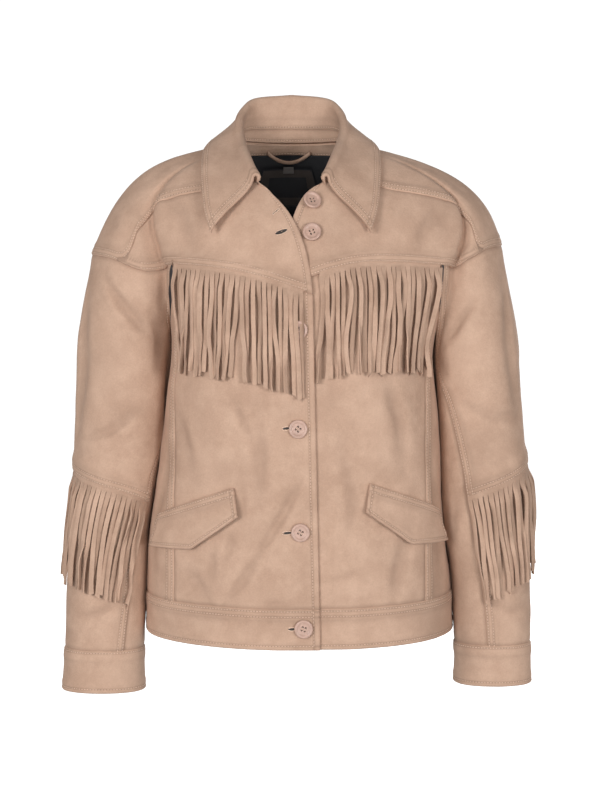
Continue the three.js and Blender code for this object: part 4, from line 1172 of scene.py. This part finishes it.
class JACKET_OT_body(JacketOperator, bpy.types.Operator):
    """Cut and sew the fronts, the side panels and the back"""

    bl_idname = "jacket.body"
    bl_label = "Body panels"

    def make(self, settings):
        stock = shop()
        skins = [stock["suede"], stock["lining"]]
        for name, side in SIDES:
            def front(u, v, side=side):
                return lower_body(u if side < 0 else LAST_COLUMN - u, v)

            cloth = Cloth(front, (0, FOLD_COLUMN), (0, 1), from_middle, pitch=3.4,
                          edges={"u0": "free", "u1": "under", "v0": "under", "v1": "under"},
                          rows={"u0": (6.8,)}, trims={"u0": (0, 0)})
            sew("front_" + name, cloth, skins, lining_starts=behind_facing)
            cloth = Cloth(lambda u, v, side=side: side_panel(side, u, v), (0, 1), (0, 1), from_middle, pitch=4.2,
                          edges={"u0": "lap", "u1": "lap", "v0": "under", "v1": "under"},
                          rows={"u0": (2.2, 9.2), "u1": (2.2, 9.2)}, trims={"u0": (1, 1), "u1": (1, 1)})
            sew("side_panel_" + name, cloth, skins)
        cloth = Cloth(lower_body, BACK_COLUMNS, (0, 1), from_middle, pitch=4.4,
                      edges={"u0": "under", "u1": "under", "v0": "under", "v1": "under"})
        sew("back_panel", cloth, skins)


class JACKET_OT_hem_band(JacketOperator, bpy.types.Operator):
    """Sew the hem band on in its three pieces"""

    bl_idname = "jacket.hem_band"
    bl_label = "Hem band"

    def make(self, settings):
        stock = shop()
        skins = [stock["suede"], stock["suede"]]
        for name, side in SIDES:
            cloth = Cloth(lambda u, v, side=side: band_front(side, u, v), (0, FOLD_COLUMN + 1), (0, 1), from_middle,
                          pitch=3.6, edges={"v0": "lap", "v1": "free", "u0": "free", "u1": "under"},
                          rows={"v0": (2.4, 8.4), "v1": (4.5,), "u0": (6.8,)},
                          trims={"v0": (7, 1), "v1": (7, 1), "u0": (2, 4.5)})
            sew("hem_band_front_" + name, cloth, skins)
        cloth = Cloth(band_point, BACK_COLUMNS, (0, 1), from_middle, pitch=4.2,
                      edges={"v0": "lap", "v1": "free", "u0": "under", "u1": "under"},
                      rows={"v0": (2.4, 8.4), "v1": (4.5,)})
        sew("hem_band_back", cloth, skins)


class JACKET_OT_sleeves(JacketOperator, bpy.types.Operator):
    """Cut and sew the sleeves and their cuffs"""

    bl_idname = "jacket.sleeves"
    bl_label = "Sleeves and cuffs"

    def make(self, settings):
        stock = shop()
        skins = [stock["suede"], stock["lining"]]
        for name, side in SIDES:
            facing = round_sleeve(side)

            def top(u, v, side=side):
                return top_sleeve_point(side, u, v)

            def under(u, v, side=side):
                return under_sleeve_point(side, u, v)

            def cuff(u, v, side=side):
                return sleeve_section(side, u * 2 * math.pi, mix(CUFF_TOP[side], CUFF_BOTTOM[side], v))

            seams = {"u0": (2.2, 7.6), "u1": (2.2, 7.6)}
            cloth = Cloth(top, (0, 7), (0, SEAM_ROW), facing, pitch=3.8,
                          edges={"u0": "lap", "u1": "lap", "v0": "under", "v1": "over"},
                          rows={**seams, "v1": (2.4, 8.0)}, trims={"u0": (1, 1), "u1": (1, 1), "v1": (9, 9)})
            sew("sleeve_upper_" + name, cloth, skins)
            cloth = Cloth(top, (0, 7), (SEAM_ROW, CUFF_ROW), facing, pitch=4.0,
                          edges={"u0": "lap", "u1": "lap", "v0": "under", "v1": "under"}, rows=seams)
            sew("sleeve_lower_" + name, cloth, skins)
            cloth = Cloth(under, (0, 1), (0, CUFF_ROW), facing, pitch=4.2,
                          edges={"u0": "under", "u1": "under", "v0": "under", "v1": "under"})
            sew("undersleeve_" + name, cloth, skins)
            cloth = Cloth(cuff, (0, 1), (0, 1), facing, pitch=3.8, ring=True, edges={"v0": "lap", "v1": "free"},
                          rows={"v0": (2.4,), "v1": (4.5,)}, trims={"v0": (0, 0), "v1": (0, 0)})
            sew("cuff_" + name, cloth, [stock["suede"], stock["suede"]])


class JACKET_OT_collar(JacketOperator, bpy.types.Operator):
    """Sew the collar's stand and leaf"""

    bl_idname = "jacket.collar"
    bl_label = "Collar"

    def make(self, settings):
        stock = shop()
        skins = [stock["suede"], stock["suede"]]
        ends = CENTRE_BACK_COLUMN

        def inwards(points):
            return np.array((COLLAR_CENTRE, -10, 0)) - points * np.array((1, 1, 0))

        stand = Cloth(collar, (-ends, ends), (0, STAND_SHARE), inwards, pitch=3.2, wall=COLLAR_WALL,
                      out=COLLAR_WALL / 2, creased=0.3, edges={"v1": "under"}, rows={"v0": (2.5,)})
        sew("collar_stand", stand, skins)

        def outwards(points):
            middle = points[:, points.shape[1] * 3 // 4:]
            way = np.zeros_like(points)
            way[:, points.shape[1] * 3 // 4:] = middle - np.array((COLLAR_CENTRE, -10, -200))
            return way

        leaf = Cloth(collar, (-ends, ends), (STAND_SHARE, 3), outwards, pitch=3.2, wall=COLLAR_WALL,
                     out=COLLAR_WALL / 2, creased=0.5,
                      edges={"v0": "lap", "v1": "free", "u0": "free", "u1": "free"},
                     rows={"v0": (3.0,), "v1": (2.4, 9.0), "u0": (2.4, 9.0), "u1": (2.4, 9.0)},
                     trims={"v0": (6, 6), "v1": (-1, -1), "u0": (30, -1), "u1": (30, -1)})
        sew("collar_leaf", leaf, skins)


class JACKET_OT_neck(JacketOperator, bpy.types.Operator):
    """Lay the facing, lining, hanging loop and blank labels inside the back neck"""

    bl_idname = "jacket.neck"
    bl_label = "Inside of the neck"

    def make(self, settings):
        stock = shop()
        depth = LEATHER + 2 * LAYER_GAP

        def inwards(points):
            return np.array((COLLAR_CENTRE, -10, 0)) - points * np.array((1, 1, 0))

        def lying(depth):
            return lambda u, v: inside_neck(*np.broadcast_arrays(np.asarray(u, float), v), depth)

        facing = Cloth(lying(depth), (7, 15), (FACING_SHARE, 1), inwards, pitch=3.0, wall=LINING_WALL, creased=0.0,
                       edges={"v0": "free"}, rows={"v0": (2.5,)})
        sew("neck_facing", facing, [stock["suede"], stock["suede"]])
        lining_depth = depth + LINING_SAG
        back = Cloth(lying(lining_depth), (9, 13), (0.02, FACING_SHARE), inwards, pitch=4.5, wall=LINING_WALL,
                     creased=0.1)
        sew("lining_back", back, [stock["lining"], stock["lining"]],
            slot="lining")
        label_depth = lining_depth + LINING_WALL + 3 * LAYER_GAP
        label = Cloth(lying(label_depth), (10.2, 11.5), (0.5, 0.79), inwards, pitch=1.6, wall=0.7, creased=0.0)
        piece = sew("neck_label", label, [stock["label"], stock["label"], stock["frame"]],
                    slot="label")
        across, down = label.away["u0"][:-1, :-1], label.away["v0"][:-1, :-1]
        across_end, down_end = label.away["u1"][1:, 1:], label.away["v1"][1:, 1:]
        border = np.minimum(np.minimum(across, across_end), np.minimum(down, down_end))
        framed = ((border > 1.2) & (border < 9.5)).reshape(-1)
        indices = np.zeros(len(piece.data.polygons), np.int32)
        piece.data.polygons.foreach_get("material_index", indices)
        indices[:len(framed)] = np.where(framed, 2, indices[:len(framed)])
        piece.data.polygons.foreach_set("material_index", indices)
        size = Cloth(lying(label_depth + 1.3), (10.75, 11.02), (0.755, 0.81), inwards, pitch=1.5, wall=0.5,
                     creased=0.0)
        sew("size_label", size, [stock["size"], stock["size"]], slot="label")

        def loop(u, v):
            along, across = np.broadcast_arrays(np.asarray(u, float), v)
            hang = np.sin(math.pi * np.clip(along, 0, 1))
            at = mix(10.2, 11.6, along)
            return inside_neck(at, 0.955 - 0.085 * hang - 0.03 * across, label_depth + 3 * hang)

        strap = Cloth(loop, (0, 1), (0, 1), inwards, pitch=2.0, wall=1.2, creased=0.0,
                      edges={"v0": "free", "v1": "free"})
        sew("hanging_loop", strap, [stock["suede"], stock["suede"]])


class JACKET_OT_flaps(JacketOperator, bpy.types.Operator):
    """Sew the two pocket flaps on the fronts"""

    bl_idname = "jacket.flaps"
    bl_label = "Pocket flaps"

    def make(self, settings):
        stock = shop()
        for name, side in SIDES:
            cloth = Cloth(lambda u, v, side=side: flap_point(side, u, v), (0, 1), (0, 1), from_middle, pitch=2.8,
                          out=LEATHER, creased=0.35, edges={"v0": "lap", "v1": "free", "u0": "free", "u1": "free"},
                          rows={"v0": (2.2, 8.0), "v1": (4.0,), "u0": (4.0,), "u1": (4.0,)},
                          trims={"v0": (2, 2), "v1": (4, 4), "u0": (8, 4), "u1": (8, 4)})
            sew("pocket_flap_" + name, cloth, [stock["suede"], stock["suede"]])


def ribbons(hang, starts, pitch, length, width, seed, thickness=1.5):
    """Cut strips that hang from a seam. hang(at, drop, off) gives a place; starts are the strips' columns."""
    rng = np.random.default_rng(seed)
    parts = 36
    head = 4.5
    verts, quads, tones, count = [], [], [], 0
    column_step = np.gradient(starts)
    for k, start in enumerate(starts):
        long = length + rng.normal(0, 2.0) + (rng.random() < 0.12) * rng.uniform(-7, 4)
        drop = head * 0.7 + np.linspace(0, 1, parts + 1) ** 0.9 * (long - head * 0.7)
        part = drop / length
        per_mm = column_step[k] / pitch
        free = smooth((drop - head) / 20)
        loose = smooth((drop - head - 10) / (length * 0.7))
        sway = rng.normal(0, 2.0) * loose * part
        sway += rng.normal(0, 0.9) * np.sin(math.pi * part * rng.uniform(1.4, 2.6) + rng.uniform(-0.4, 0.4)) * free
        sway += rng.normal(0, 0.35) * np.sin(math.pi * part * rng.uniform(4, 7) + rng.uniform(0, 6)) * loose
        if rng.random() < 0.12:
            sway += rng.choice((-1, 1)) * rng.uniform(3.5, 7) * loose * part
        layer = (0, 1.5, 0.6, 2.1)[k % 4] + rng.uniform(-0.3, 0.6)
        off = 1.2 + 0.5 * (k % 2) * smooth((drop - head) / 8) + layer * free + 1.1 * free
        off += abs(rng.normal(0, 1.2)) * np.sin(math.pi * part * rng.uniform(0.8, 1.6)) ** 2 * loose
        twist = rng.normal(0, 0.26) * free
        twist += rng.normal(0, 0.35) * np.sin(math.pi * part * rng.uniform(1, 2.4)) * free
        if rng.random() < 0.20:
            turn_at = rng.uniform(0.35, 0.75)
            twist += rng.choice((-1, 1)) * rng.uniform(0.9, 1.45) * smooth((part - turn_at) * 4)
        broad = width * rng.uniform(0.80, 1.04) * (1 - 0.10 * smooth((drop - head) / 9))
        off += np.abs(np.sin(twist)) * broad / 2
        at = start + sway * per_mm
        centre = hang(at, drop, off)
        ahead = unit(np.gradient(centre, axis=0))
        beside = hang(at + per_mm, drop, off) - centre
        beside = unit(beside - (beside * ahead).sum(1, keepdims=True) * ahead)
        outward = unit(np.cross(ahead, beside))
        if (outward * (hang(at, drop, off + 1.0) - centre)).sum() < 0:
            outward = -outward
        turn, lift = np.cos(twist)[:, None], np.sin(twist)[:, None]
        across, above = beside * turn + outward * lift, outward * turn - beside * lift
        cup = rng.uniform(-0.9, 0.9) * free
        thick = thickness * rng.uniform(0.85, 1.1)
        slant = rng.normal(0, 1.0)
        corners = ((-1, 0.5), (-0.4, 0.5), (0.4, 0.5), (1, 0.5), (1, -0.5), (0.4, -0.5), (-0.4, -0.5), (-1, -0.5))
        ring = [centre + across * (a * broad / 2)[:, None] + above * (b * thick + cup * (abs(a) - 0.5))[:, None]
                for a, b in corners]
        block = np.stack(ring, 1)
        block[-1] += ahead[-1] * np.array([a for a, _ in corners])[:, None] * slant
        verts.append(block.reshape(-1, 3))
        around, rows, last = np.arange(8), np.arange(parts)[:, None] * 8, parts * 8
        a, b = rows + around, rows + np.roll(around, -1)
        caps = np.array([(7, 6, 1, 0), (6, 5, 2, 1), (5, 4, 3, 2)])
        faces = np.concatenate((np.stack((a, b, b + 8, a + 8), -1).reshape(-1, 4), caps[:, ::-1], caps + last))
        handed = np.dot(np.cross(across[0], above[0]), ahead[0]) > 0
        quads.append((faces if handed else faces[:, ::-1]) + count)
        # A random change from strip to strip, with painted shade on the back layer's strips and near the seam, where
        # the yoke's edge shades them.
        shade = rng.uniform(-0.10, 0.12) - 0.16 * (layer < 0.5) * free - 0.20 * (1 - smooth((drop - head) / 12))
        # Painted highlight on the outer rims of each strip and painted shade on its face towards the body.
        edge = np.array([0.10, 0, 0, 0.10, -0.15, -0.3, -0.3, -0.15])
        tones.append((0.5 + shade[:, None] + edge[None]).reshape(-1))
        count += len(block) * 8
    return verts, quads, tones, count


def hang_fringe(node, hang, columns, settings, seed):
    """The strips of one fringe with the uncut band they hang from."""
    length, width = settings.fringe_length / MM, settings.strip_width / MM
    line = hang(columns, 0.0 * columns, 0.0 * columns)
    run = lengths(line[:, None], 0)[:, 0]
    number = int(round(run[-1] / (width * 1.02)))
    starts = np.interp((np.arange(number) + 0.5) * run[-1] / number, run, columns)
    verts, quads, tones, count = ribbons(hang, starts, run[-1] / number, length, width, seed)
    ats = np.interp(np.linspace(0.6, run[-1] - 0.6, number * 2), run, columns)
    downs = np.linspace(-2.0, 4.5, 5)
    layers = [hang(ats[:, None] + 0 * downs, downs + 0 * ats[:, None], off + 0 * ats[:, None] + 0 * downs)
              for off in (1.6, 0.3)]
    flat = [layer.reshape(-1, 3) for layer in layers]
    faces = grid_faces(len(ats), len(downs))
    size = len(flat[0])
    index = np.arange(size).reshape(len(ats), len(downs))
    border = np.concatenate((index[:, 0], index[-1, 1:], index[-2::-1, -1], index[0, -2:0:-1]))
    rim = np.stack((border, np.roll(border, -1), np.roll(border, -1) + size, border + size), -1)
    verts += flat
    quads += [faces + count, faces[:, ::-1] + count + size, rim[:, ::-1] + count]
    # Painted shade on the uncut band under the yoke's edge.
    tones += [np.full(2 * size, 0.42)]
    stock = shop()
    piece = new_piece("cloth_" + node, np.concatenate(verts), np.concatenate(quads), [stock["fringe"]],
                      tone_and_painted_shade=np.concatenate(tones), shade_smooth=False)
    bpy.context.view_layer.objects.active = piece
    settle(piece, "fringe", node)


class JACKET_OT_fringes(JacketOperator, bpy.types.Operator):
    """Hang the cut fringes under the front yokes and round the sleeves"""

    bl_idname = "jacket.fringes"
    bl_label = "Fringes"

    def make(self, settings):
        for name, side in SIDES:
            columns = np.linspace(CHEST_FRINGE_START[side], FOLD_COLUMN + 0.3, 60)
            columns = columns if side < 0 else LAST_COLUMN - columns
            hang_fringe("chest_fringe_" + name, chest_hang, columns, settings, 11 + side)
            columns = np.linspace(0.02, 6.98, 120)
            hang_fringe("sleeve_fringe_" + name, lambda at, drop, off, side=side: sleeve_hang(side, at, drop, off),
                        columns, settings, 21 + side)


def button_grid(radius):
    """Rings of a four-hole button and its profile."""
    rings = np.array([0.05, 0.8, 1.4, 1.7, 2.0, 2.3, 2.6, 2.9, 3.2, 3.5, 3.8, 4.1, 4.5, 5.2, 6.0, 6.6, 7.0, 7.4, 8.0,
                      8.6, 9.2, 9.7, 10.0, 10.15, 10.15, 9.8, 9.0, 5.0, 0.05]) * radius / 10.15
    height = np.array([2.05] * 14 + [2.1, 2.3, 2.65, 2.95, 3.15, 3.2, 3.12, 2.9, 2.5, 2.0, 1.0, 0.35, 0.05, 0.0, 0.0])
    turns = np.arange(72) * 2 * math.pi / 72
    x, y = rings[None] * np.cos(turns)[:, None], rings[None] * np.sin(turns)[:, None]
    z = np.broadcast_to(height, x.shape).copy()
    tone_and_painted_shade = np.full(x.shape, 0.5)
    top = np.arange(len(rings)) < 20
    for a, b in ((1, 1), (1, -1), (-1, 1), (-1, -1)):
        distance = np.hypot(x - a * 1.75, y - b * 1.75)
        hole = smooth((1.15 - distance) / 0.35) * top
        z -= 1.75 * hole
        # Painted shade in the four holes, which are shallow dimples here, not through holes.
        tone_and_painted_shade -= 0.5 * hole
    return np.stack((x, y, z), -1), tone_and_painted_shade


class JACKET_OT_buttons(JacketOperator, bpy.types.Operator):
    """Sew on the six horn buttons"""

    bl_idname = "jacket.buttons"
    bl_label = "Buttons"

    def make(self, settings):
        stock = shop()
        places = []
        for column, share, lean in YOKE_BUTTONS:
            way = upper_normal(np.array(column), np.array(share))
            turn = math.radians(lean)
            way = np.array((way[0] * math.cos(turn) - way[1] * math.sin(turn),
                            way[0] * math.sin(turn) + way[1] * math.cos(turn), way[2]))
            lift = BUTTON_RADIUS * math.sin(turn)
            places.append((upper_body(np.array(column), np.array(share)) + way * (lift + LAYER_GAP), way))
        for x, z in FRONT_BUTTONS:
            angle = angle_at_x(np.array(float(x)), np.array(float(z)))
            way = body_normal(angle, np.array(float(z)))
            places.append((body_section(angle, np.array(float(z))) + way * LAYER_GAP, way))
        grid, tone_and_painted_shade = button_grid(BUTTON_RADIUS)
        faces = grid_faces(grid.shape[0], grid.shape[1], ring=True)
        for number, (place, way) in enumerate(places, 1):
            up = unit(np.array((0, 0, 1.0)) - way * way[2])
            turned = math.radians(12 * number)
            right = np.cross(up, way)
            aside = right * math.cos(turned) + up * math.sin(turned)
            upward = np.cross(way, aside)
            points = place + grid[..., :1] * aside + grid[..., 1:2] * upward + grid[..., 2:] * way
            piece = new_piece(f"button_piece_{number}", points.reshape(-1, 3), faces, [stock["horn"]],
                              tone_and_painted_shade=tone_and_painted_shade.reshape(-1))
            settle(piece, "button", f"button_{number}")
            threads = []
            for level in (-1.75, 1.75):
                ends = np.linspace(-1.9, 1.9, 7)[:, None]
                line = place + aside * ends + upward * level + way * (2.05 + 0.25 * np.cos(ends * 0.7))
                threads.append((line, np.repeat(way[None], 7, 0)))
            verts, quads = stitch_mesh(threads, 3.6, thread=0.42, share=1.0)
            settle(new_piece(f"button_thread_{number}", verts, quads, [stock["thread"]]), "button")


# Which piece each buttonhole is cut in, its two ends (x, z) and how far it gapes either side.
BUTTONHOLES = (
    ("front_yoke_right", (-30, -80), (-22, -73), 0.4),
    ("front_yoke_right", (-27, -101.5), (-13.5, -96.5), 1.9),
    ("front_right", (-19, -206), (-8.5, -205), 1.1),
    ("front_right", (-19.2, -311.8), (-9.8, -310.8), 1.3),
    ("front_right", (-19.6, -426), (-8.4, -425), 1.3),
    ("hem_band_front_right", (-13, -531.5), (-4.5, -531.5), 1.3),
)


def on_cloth(cloth, x, z):
    """The place and outward way on a piece's face at x and z, seen from the front."""
    points, ways = cloth.outer.reshape(-1, 3), cloth.normals.reshape(-1, 3)
    distance = np.hypot(points[:, 0] - x, points[:, 2] - z) + 1000 * (ways[:, 1] > 0)
    near = np.argsort(distance)[:6]
    share = 1 / (distance[near] + 0.3) ** 2
    share = share[:, None] / share.sum()
    place = (points[near] * share).sum(0)
    return np.array((x, place[1], z)), unit((ways[near] * share).sum(0))


class JACKET_OT_buttonholes(JacketOperator, bpy.types.Operator):
    """Lay a dark sheet of painted shadow in each buttonhole of the right front and whip their edges"""

    bl_idname = "jacket.buttonholes"
    bl_label = "Buttonholes"

    def make(self, settings):
        stock = shop()
        for number, (node, start, end, gape) in enumerate(BUTTONHOLES, 1):
            shares = np.linspace(0, 1, 25)
            line = mix(np.array(start, float), np.array(end, float), shares[:, None])
            found = [on_cloth(CLOTHS[node], x, z) for x, z in line]
            places, ways = np.array([f[0] for f in found]), np.array([f[1] for f in found])
            places = np.stack([np.convolve(np.pad(places[:, k], 3, "edge"), np.ones(7) / 7, "valid")
                               for k in range(3)], -1)
            ahead = unit(np.gradient(places, axis=0))
            aside = unit(np.cross(ways, ahead))
            half = gape * np.sin(math.pi * np.clip(shares, 0.03, 0.97)) ** 0.45
            rows = [places + aside * (half * k)[:, None] + ways * (0.30 - 0.25 * (abs(k) < 0.5))
                    for k in (-1, -0.4, 0.4, 1)]
            grid = np.stack(rows, 1)
            # A near-black sheet laid in the slit stands for the shadow inside the buttonhole: painted shadow.
            slit = new_piece(f"buttonhole_slit_{number}", grid.reshape(-1, 3), grid_faces(25, 4), [stock["slit"]])
            settle(slit, "suede")
            paths = []
            for place, way, side, wide in zip(places, ways, aside, half):
                for hand in (-1, 1):
                    inner = place + side * hand * (wide - 0.1) + way * 0.35
                    outer = place + side * hand * (wide + 1.2) + way * 0.15
                    paths.append((np.array((inner, outer)), np.array((way, way))))
            verts, quads = stitch_mesh(paths, 1.2, thread=0.30, share=1.0)
            settle(new_piece(f"buttonhole_stitches_{number}", verts, quads, [stock["thread"]]), "suede")


# Each soft lamp's name, place and width in metres, and its power in watts.
LAMPS = (
    ("key", (-1.3, -2.1, 0.0), 0.8, 31),
    ("fill", (1.4, -2.2, -0.2), 0.8, 28),
    ("low_fill", (0.0, -2.8, -0.35), 1.0, 8),
    ("rim", (0.9, 2.6, 0.1), 1.2, 34),
)
LAMPS_AIM = (0, 0, -0.3)
CAMERA_PLACE = (0, -2.0, -0.1725)
CAMERA_AIM = (0, 0, -0.2875)
WORLD_STRENGTH = 0.31
FLOOR_REACH = 25.0
FLOOR_LEVEL = -0.78
DOME_RADIUS = 24.0


class JACKET_OT_stage(JacketOperator, bpy.types.Operator):
    """Set the camera, the studio lights and the pale floor"""

    bl_idname = "jacket.stage"
    bl_label = "Studio"

    def sky(self, scene):
        """A white dome behind everything, which gives no light of its own."""
        around = np.arange(48) * 2 * math.pi / 48
        up = np.radians(np.linspace(-89, 89, 30))
        points = np.stack((np.cos(around)[:, None] * np.cos(up), np.sin(around)[:, None] * np.cos(up),
                           np.sin(up) + 0 * around[:, None]), -1) * DOME_RADIUS
        material, tree, shader = node_tree("white_dome")
        tint = ranged(tree, noise(tree, place_of(tree), 0.2), 0.3, 0.7, 0.99, 1.0)
        put(tree, shader.inputs["Emission Color"], add_node(tree, "ShaderNodeCombineColor", None, i0=tint, i1=tint,
                                                            i2=tint).outputs[0])
        shader.inputs["Base Color"].default_value = (0, 0, 0, 1)
        shader.inputs["Emission Strength"].default_value = 1.05
        dome = new_piece("studio_dome", points.reshape(-1, 3) / MM, grid_faces(48, 30, True), [material])
        dome.visible_diffuse = dome.visible_glossy = dome.visible_shadow = dome.visible_transmission = False

    def make(self, settings):
        scene = bpy.context.scene
        mesh = bpy.data.meshes.new("studio_floor")
        reach, level = FLOOR_REACH, FLOOR_LEVEL
        corners = [(-reach, -reach, level), (reach, -reach, level), (reach, reach, level), (-reach, reach, level)]
        mesh.from_pydata(corners, [], [(0, 1, 2, 3)])
        material, tree, shader = node_tree("pale_floor")
        tint = ranged(tree, noise(tree, place_of(tree), 2.0), 0.3, 0.7, 0.93, 0.95)
        put(tree, shader.inputs["Base Color"], add_node(tree, "ShaderNodeCombineColor", None, i0=tint, i1=tint,
                                                        i2=tint).outputs[0])
        shader.inputs["Roughness"].default_value = 0.9
        shader.inputs["Emission Color"].default_value = (1, 1, 1, 1)
        shader.inputs["Emission Strength"].default_value = 0.85
        mesh.materials.append(material)
        floor = bpy.data.objects.new("studio_floor", mesh)
        floor.visible_diffuse = False
        scene.collection.objects.link(floor)
        world = bpy.data.worlds.new("studio")
        world.use_nodes = True
        world.node_tree.nodes["Background"].inputs[0].default_value = (1, 1, 1, 1)
        world.node_tree.nodes["Background"].inputs[1].default_value = WORLD_STRENGTH
        scene.world = world
        self.sky(scene)
        for name, place, size, power in LAMPS:
            lamp = bpy.data.lights.new(name, "AREA")
            lamp.energy, lamp.size = power, size
            stand = bpy.data.objects.new(name, lamp)
            stand.location = place
            aim(stand, LAMPS_AIM)
            scene.collection.objects.link(stand)
        camera = bpy.data.cameras.new("camera")
        camera.lens, camera.sensor_width = 78.4, 36
        stand = bpy.data.objects.new("camera", camera)
        stand.location = CAMERA_PLACE
        aim(stand, CAMERA_AIM)
        scene.collection.objects.link(stand)
        scene.camera = stand
        scene.view_settings.view_transform = "Standard"


def aim(piece, target):
    piece.rotation_euler = (Vector(target) - piece.location).to_track_quat("-Z", "Y").to_euler()


OPERATORS = (JACKET_OT_stage, JACKET_OT_yokes, JACKET_OT_body, JACKET_OT_hem_band, JACKET_OT_sleeves,
             JACKET_OT_collar, JACKET_OT_neck, JACKET_OT_flaps, JACKET_OT_fringes, JACKET_OT_buttons,
             JACKET_OT_buttonholes)


class JACKET_PT_panel(bpy.types.Panel):
    """Lists the steps of the jacket"""

    bl_label = "Fringed suede jacket"
    bl_space_type = "VIEW_3D"
    bl_region_type = "UI"
    bl_category = "Jacket"

    def draw(self, context):
        settings = context.scene.suede_jacket
        for key in settings.__annotations__:
            self.layout.prop(settings, key)
        for operator in OPERATORS:
            self.layout.operator(operator.bl_idname)


CLASSES = (JacketSettings, *OPERATORS, JACKET_PT_panel)


def register():
    for item in CLASSES:
        bpy.utils.register_class(item)
    bpy.types.Scene.suede_jacket = bpy.props.PointerProperty(type=JacketSettings)


def unregister():
    del bpy.types.Scene.suede_jacket
    for item in reversed(CLASSES):
        bpy.utils.unregister_class(item)


def main():
    register()
    for operator in OPERATORS:
        group, step = operator.bl_idname.split(".")
        getattr(getattr(bpy.ops, group), step)()


if __name__ == "__main__":
    main()
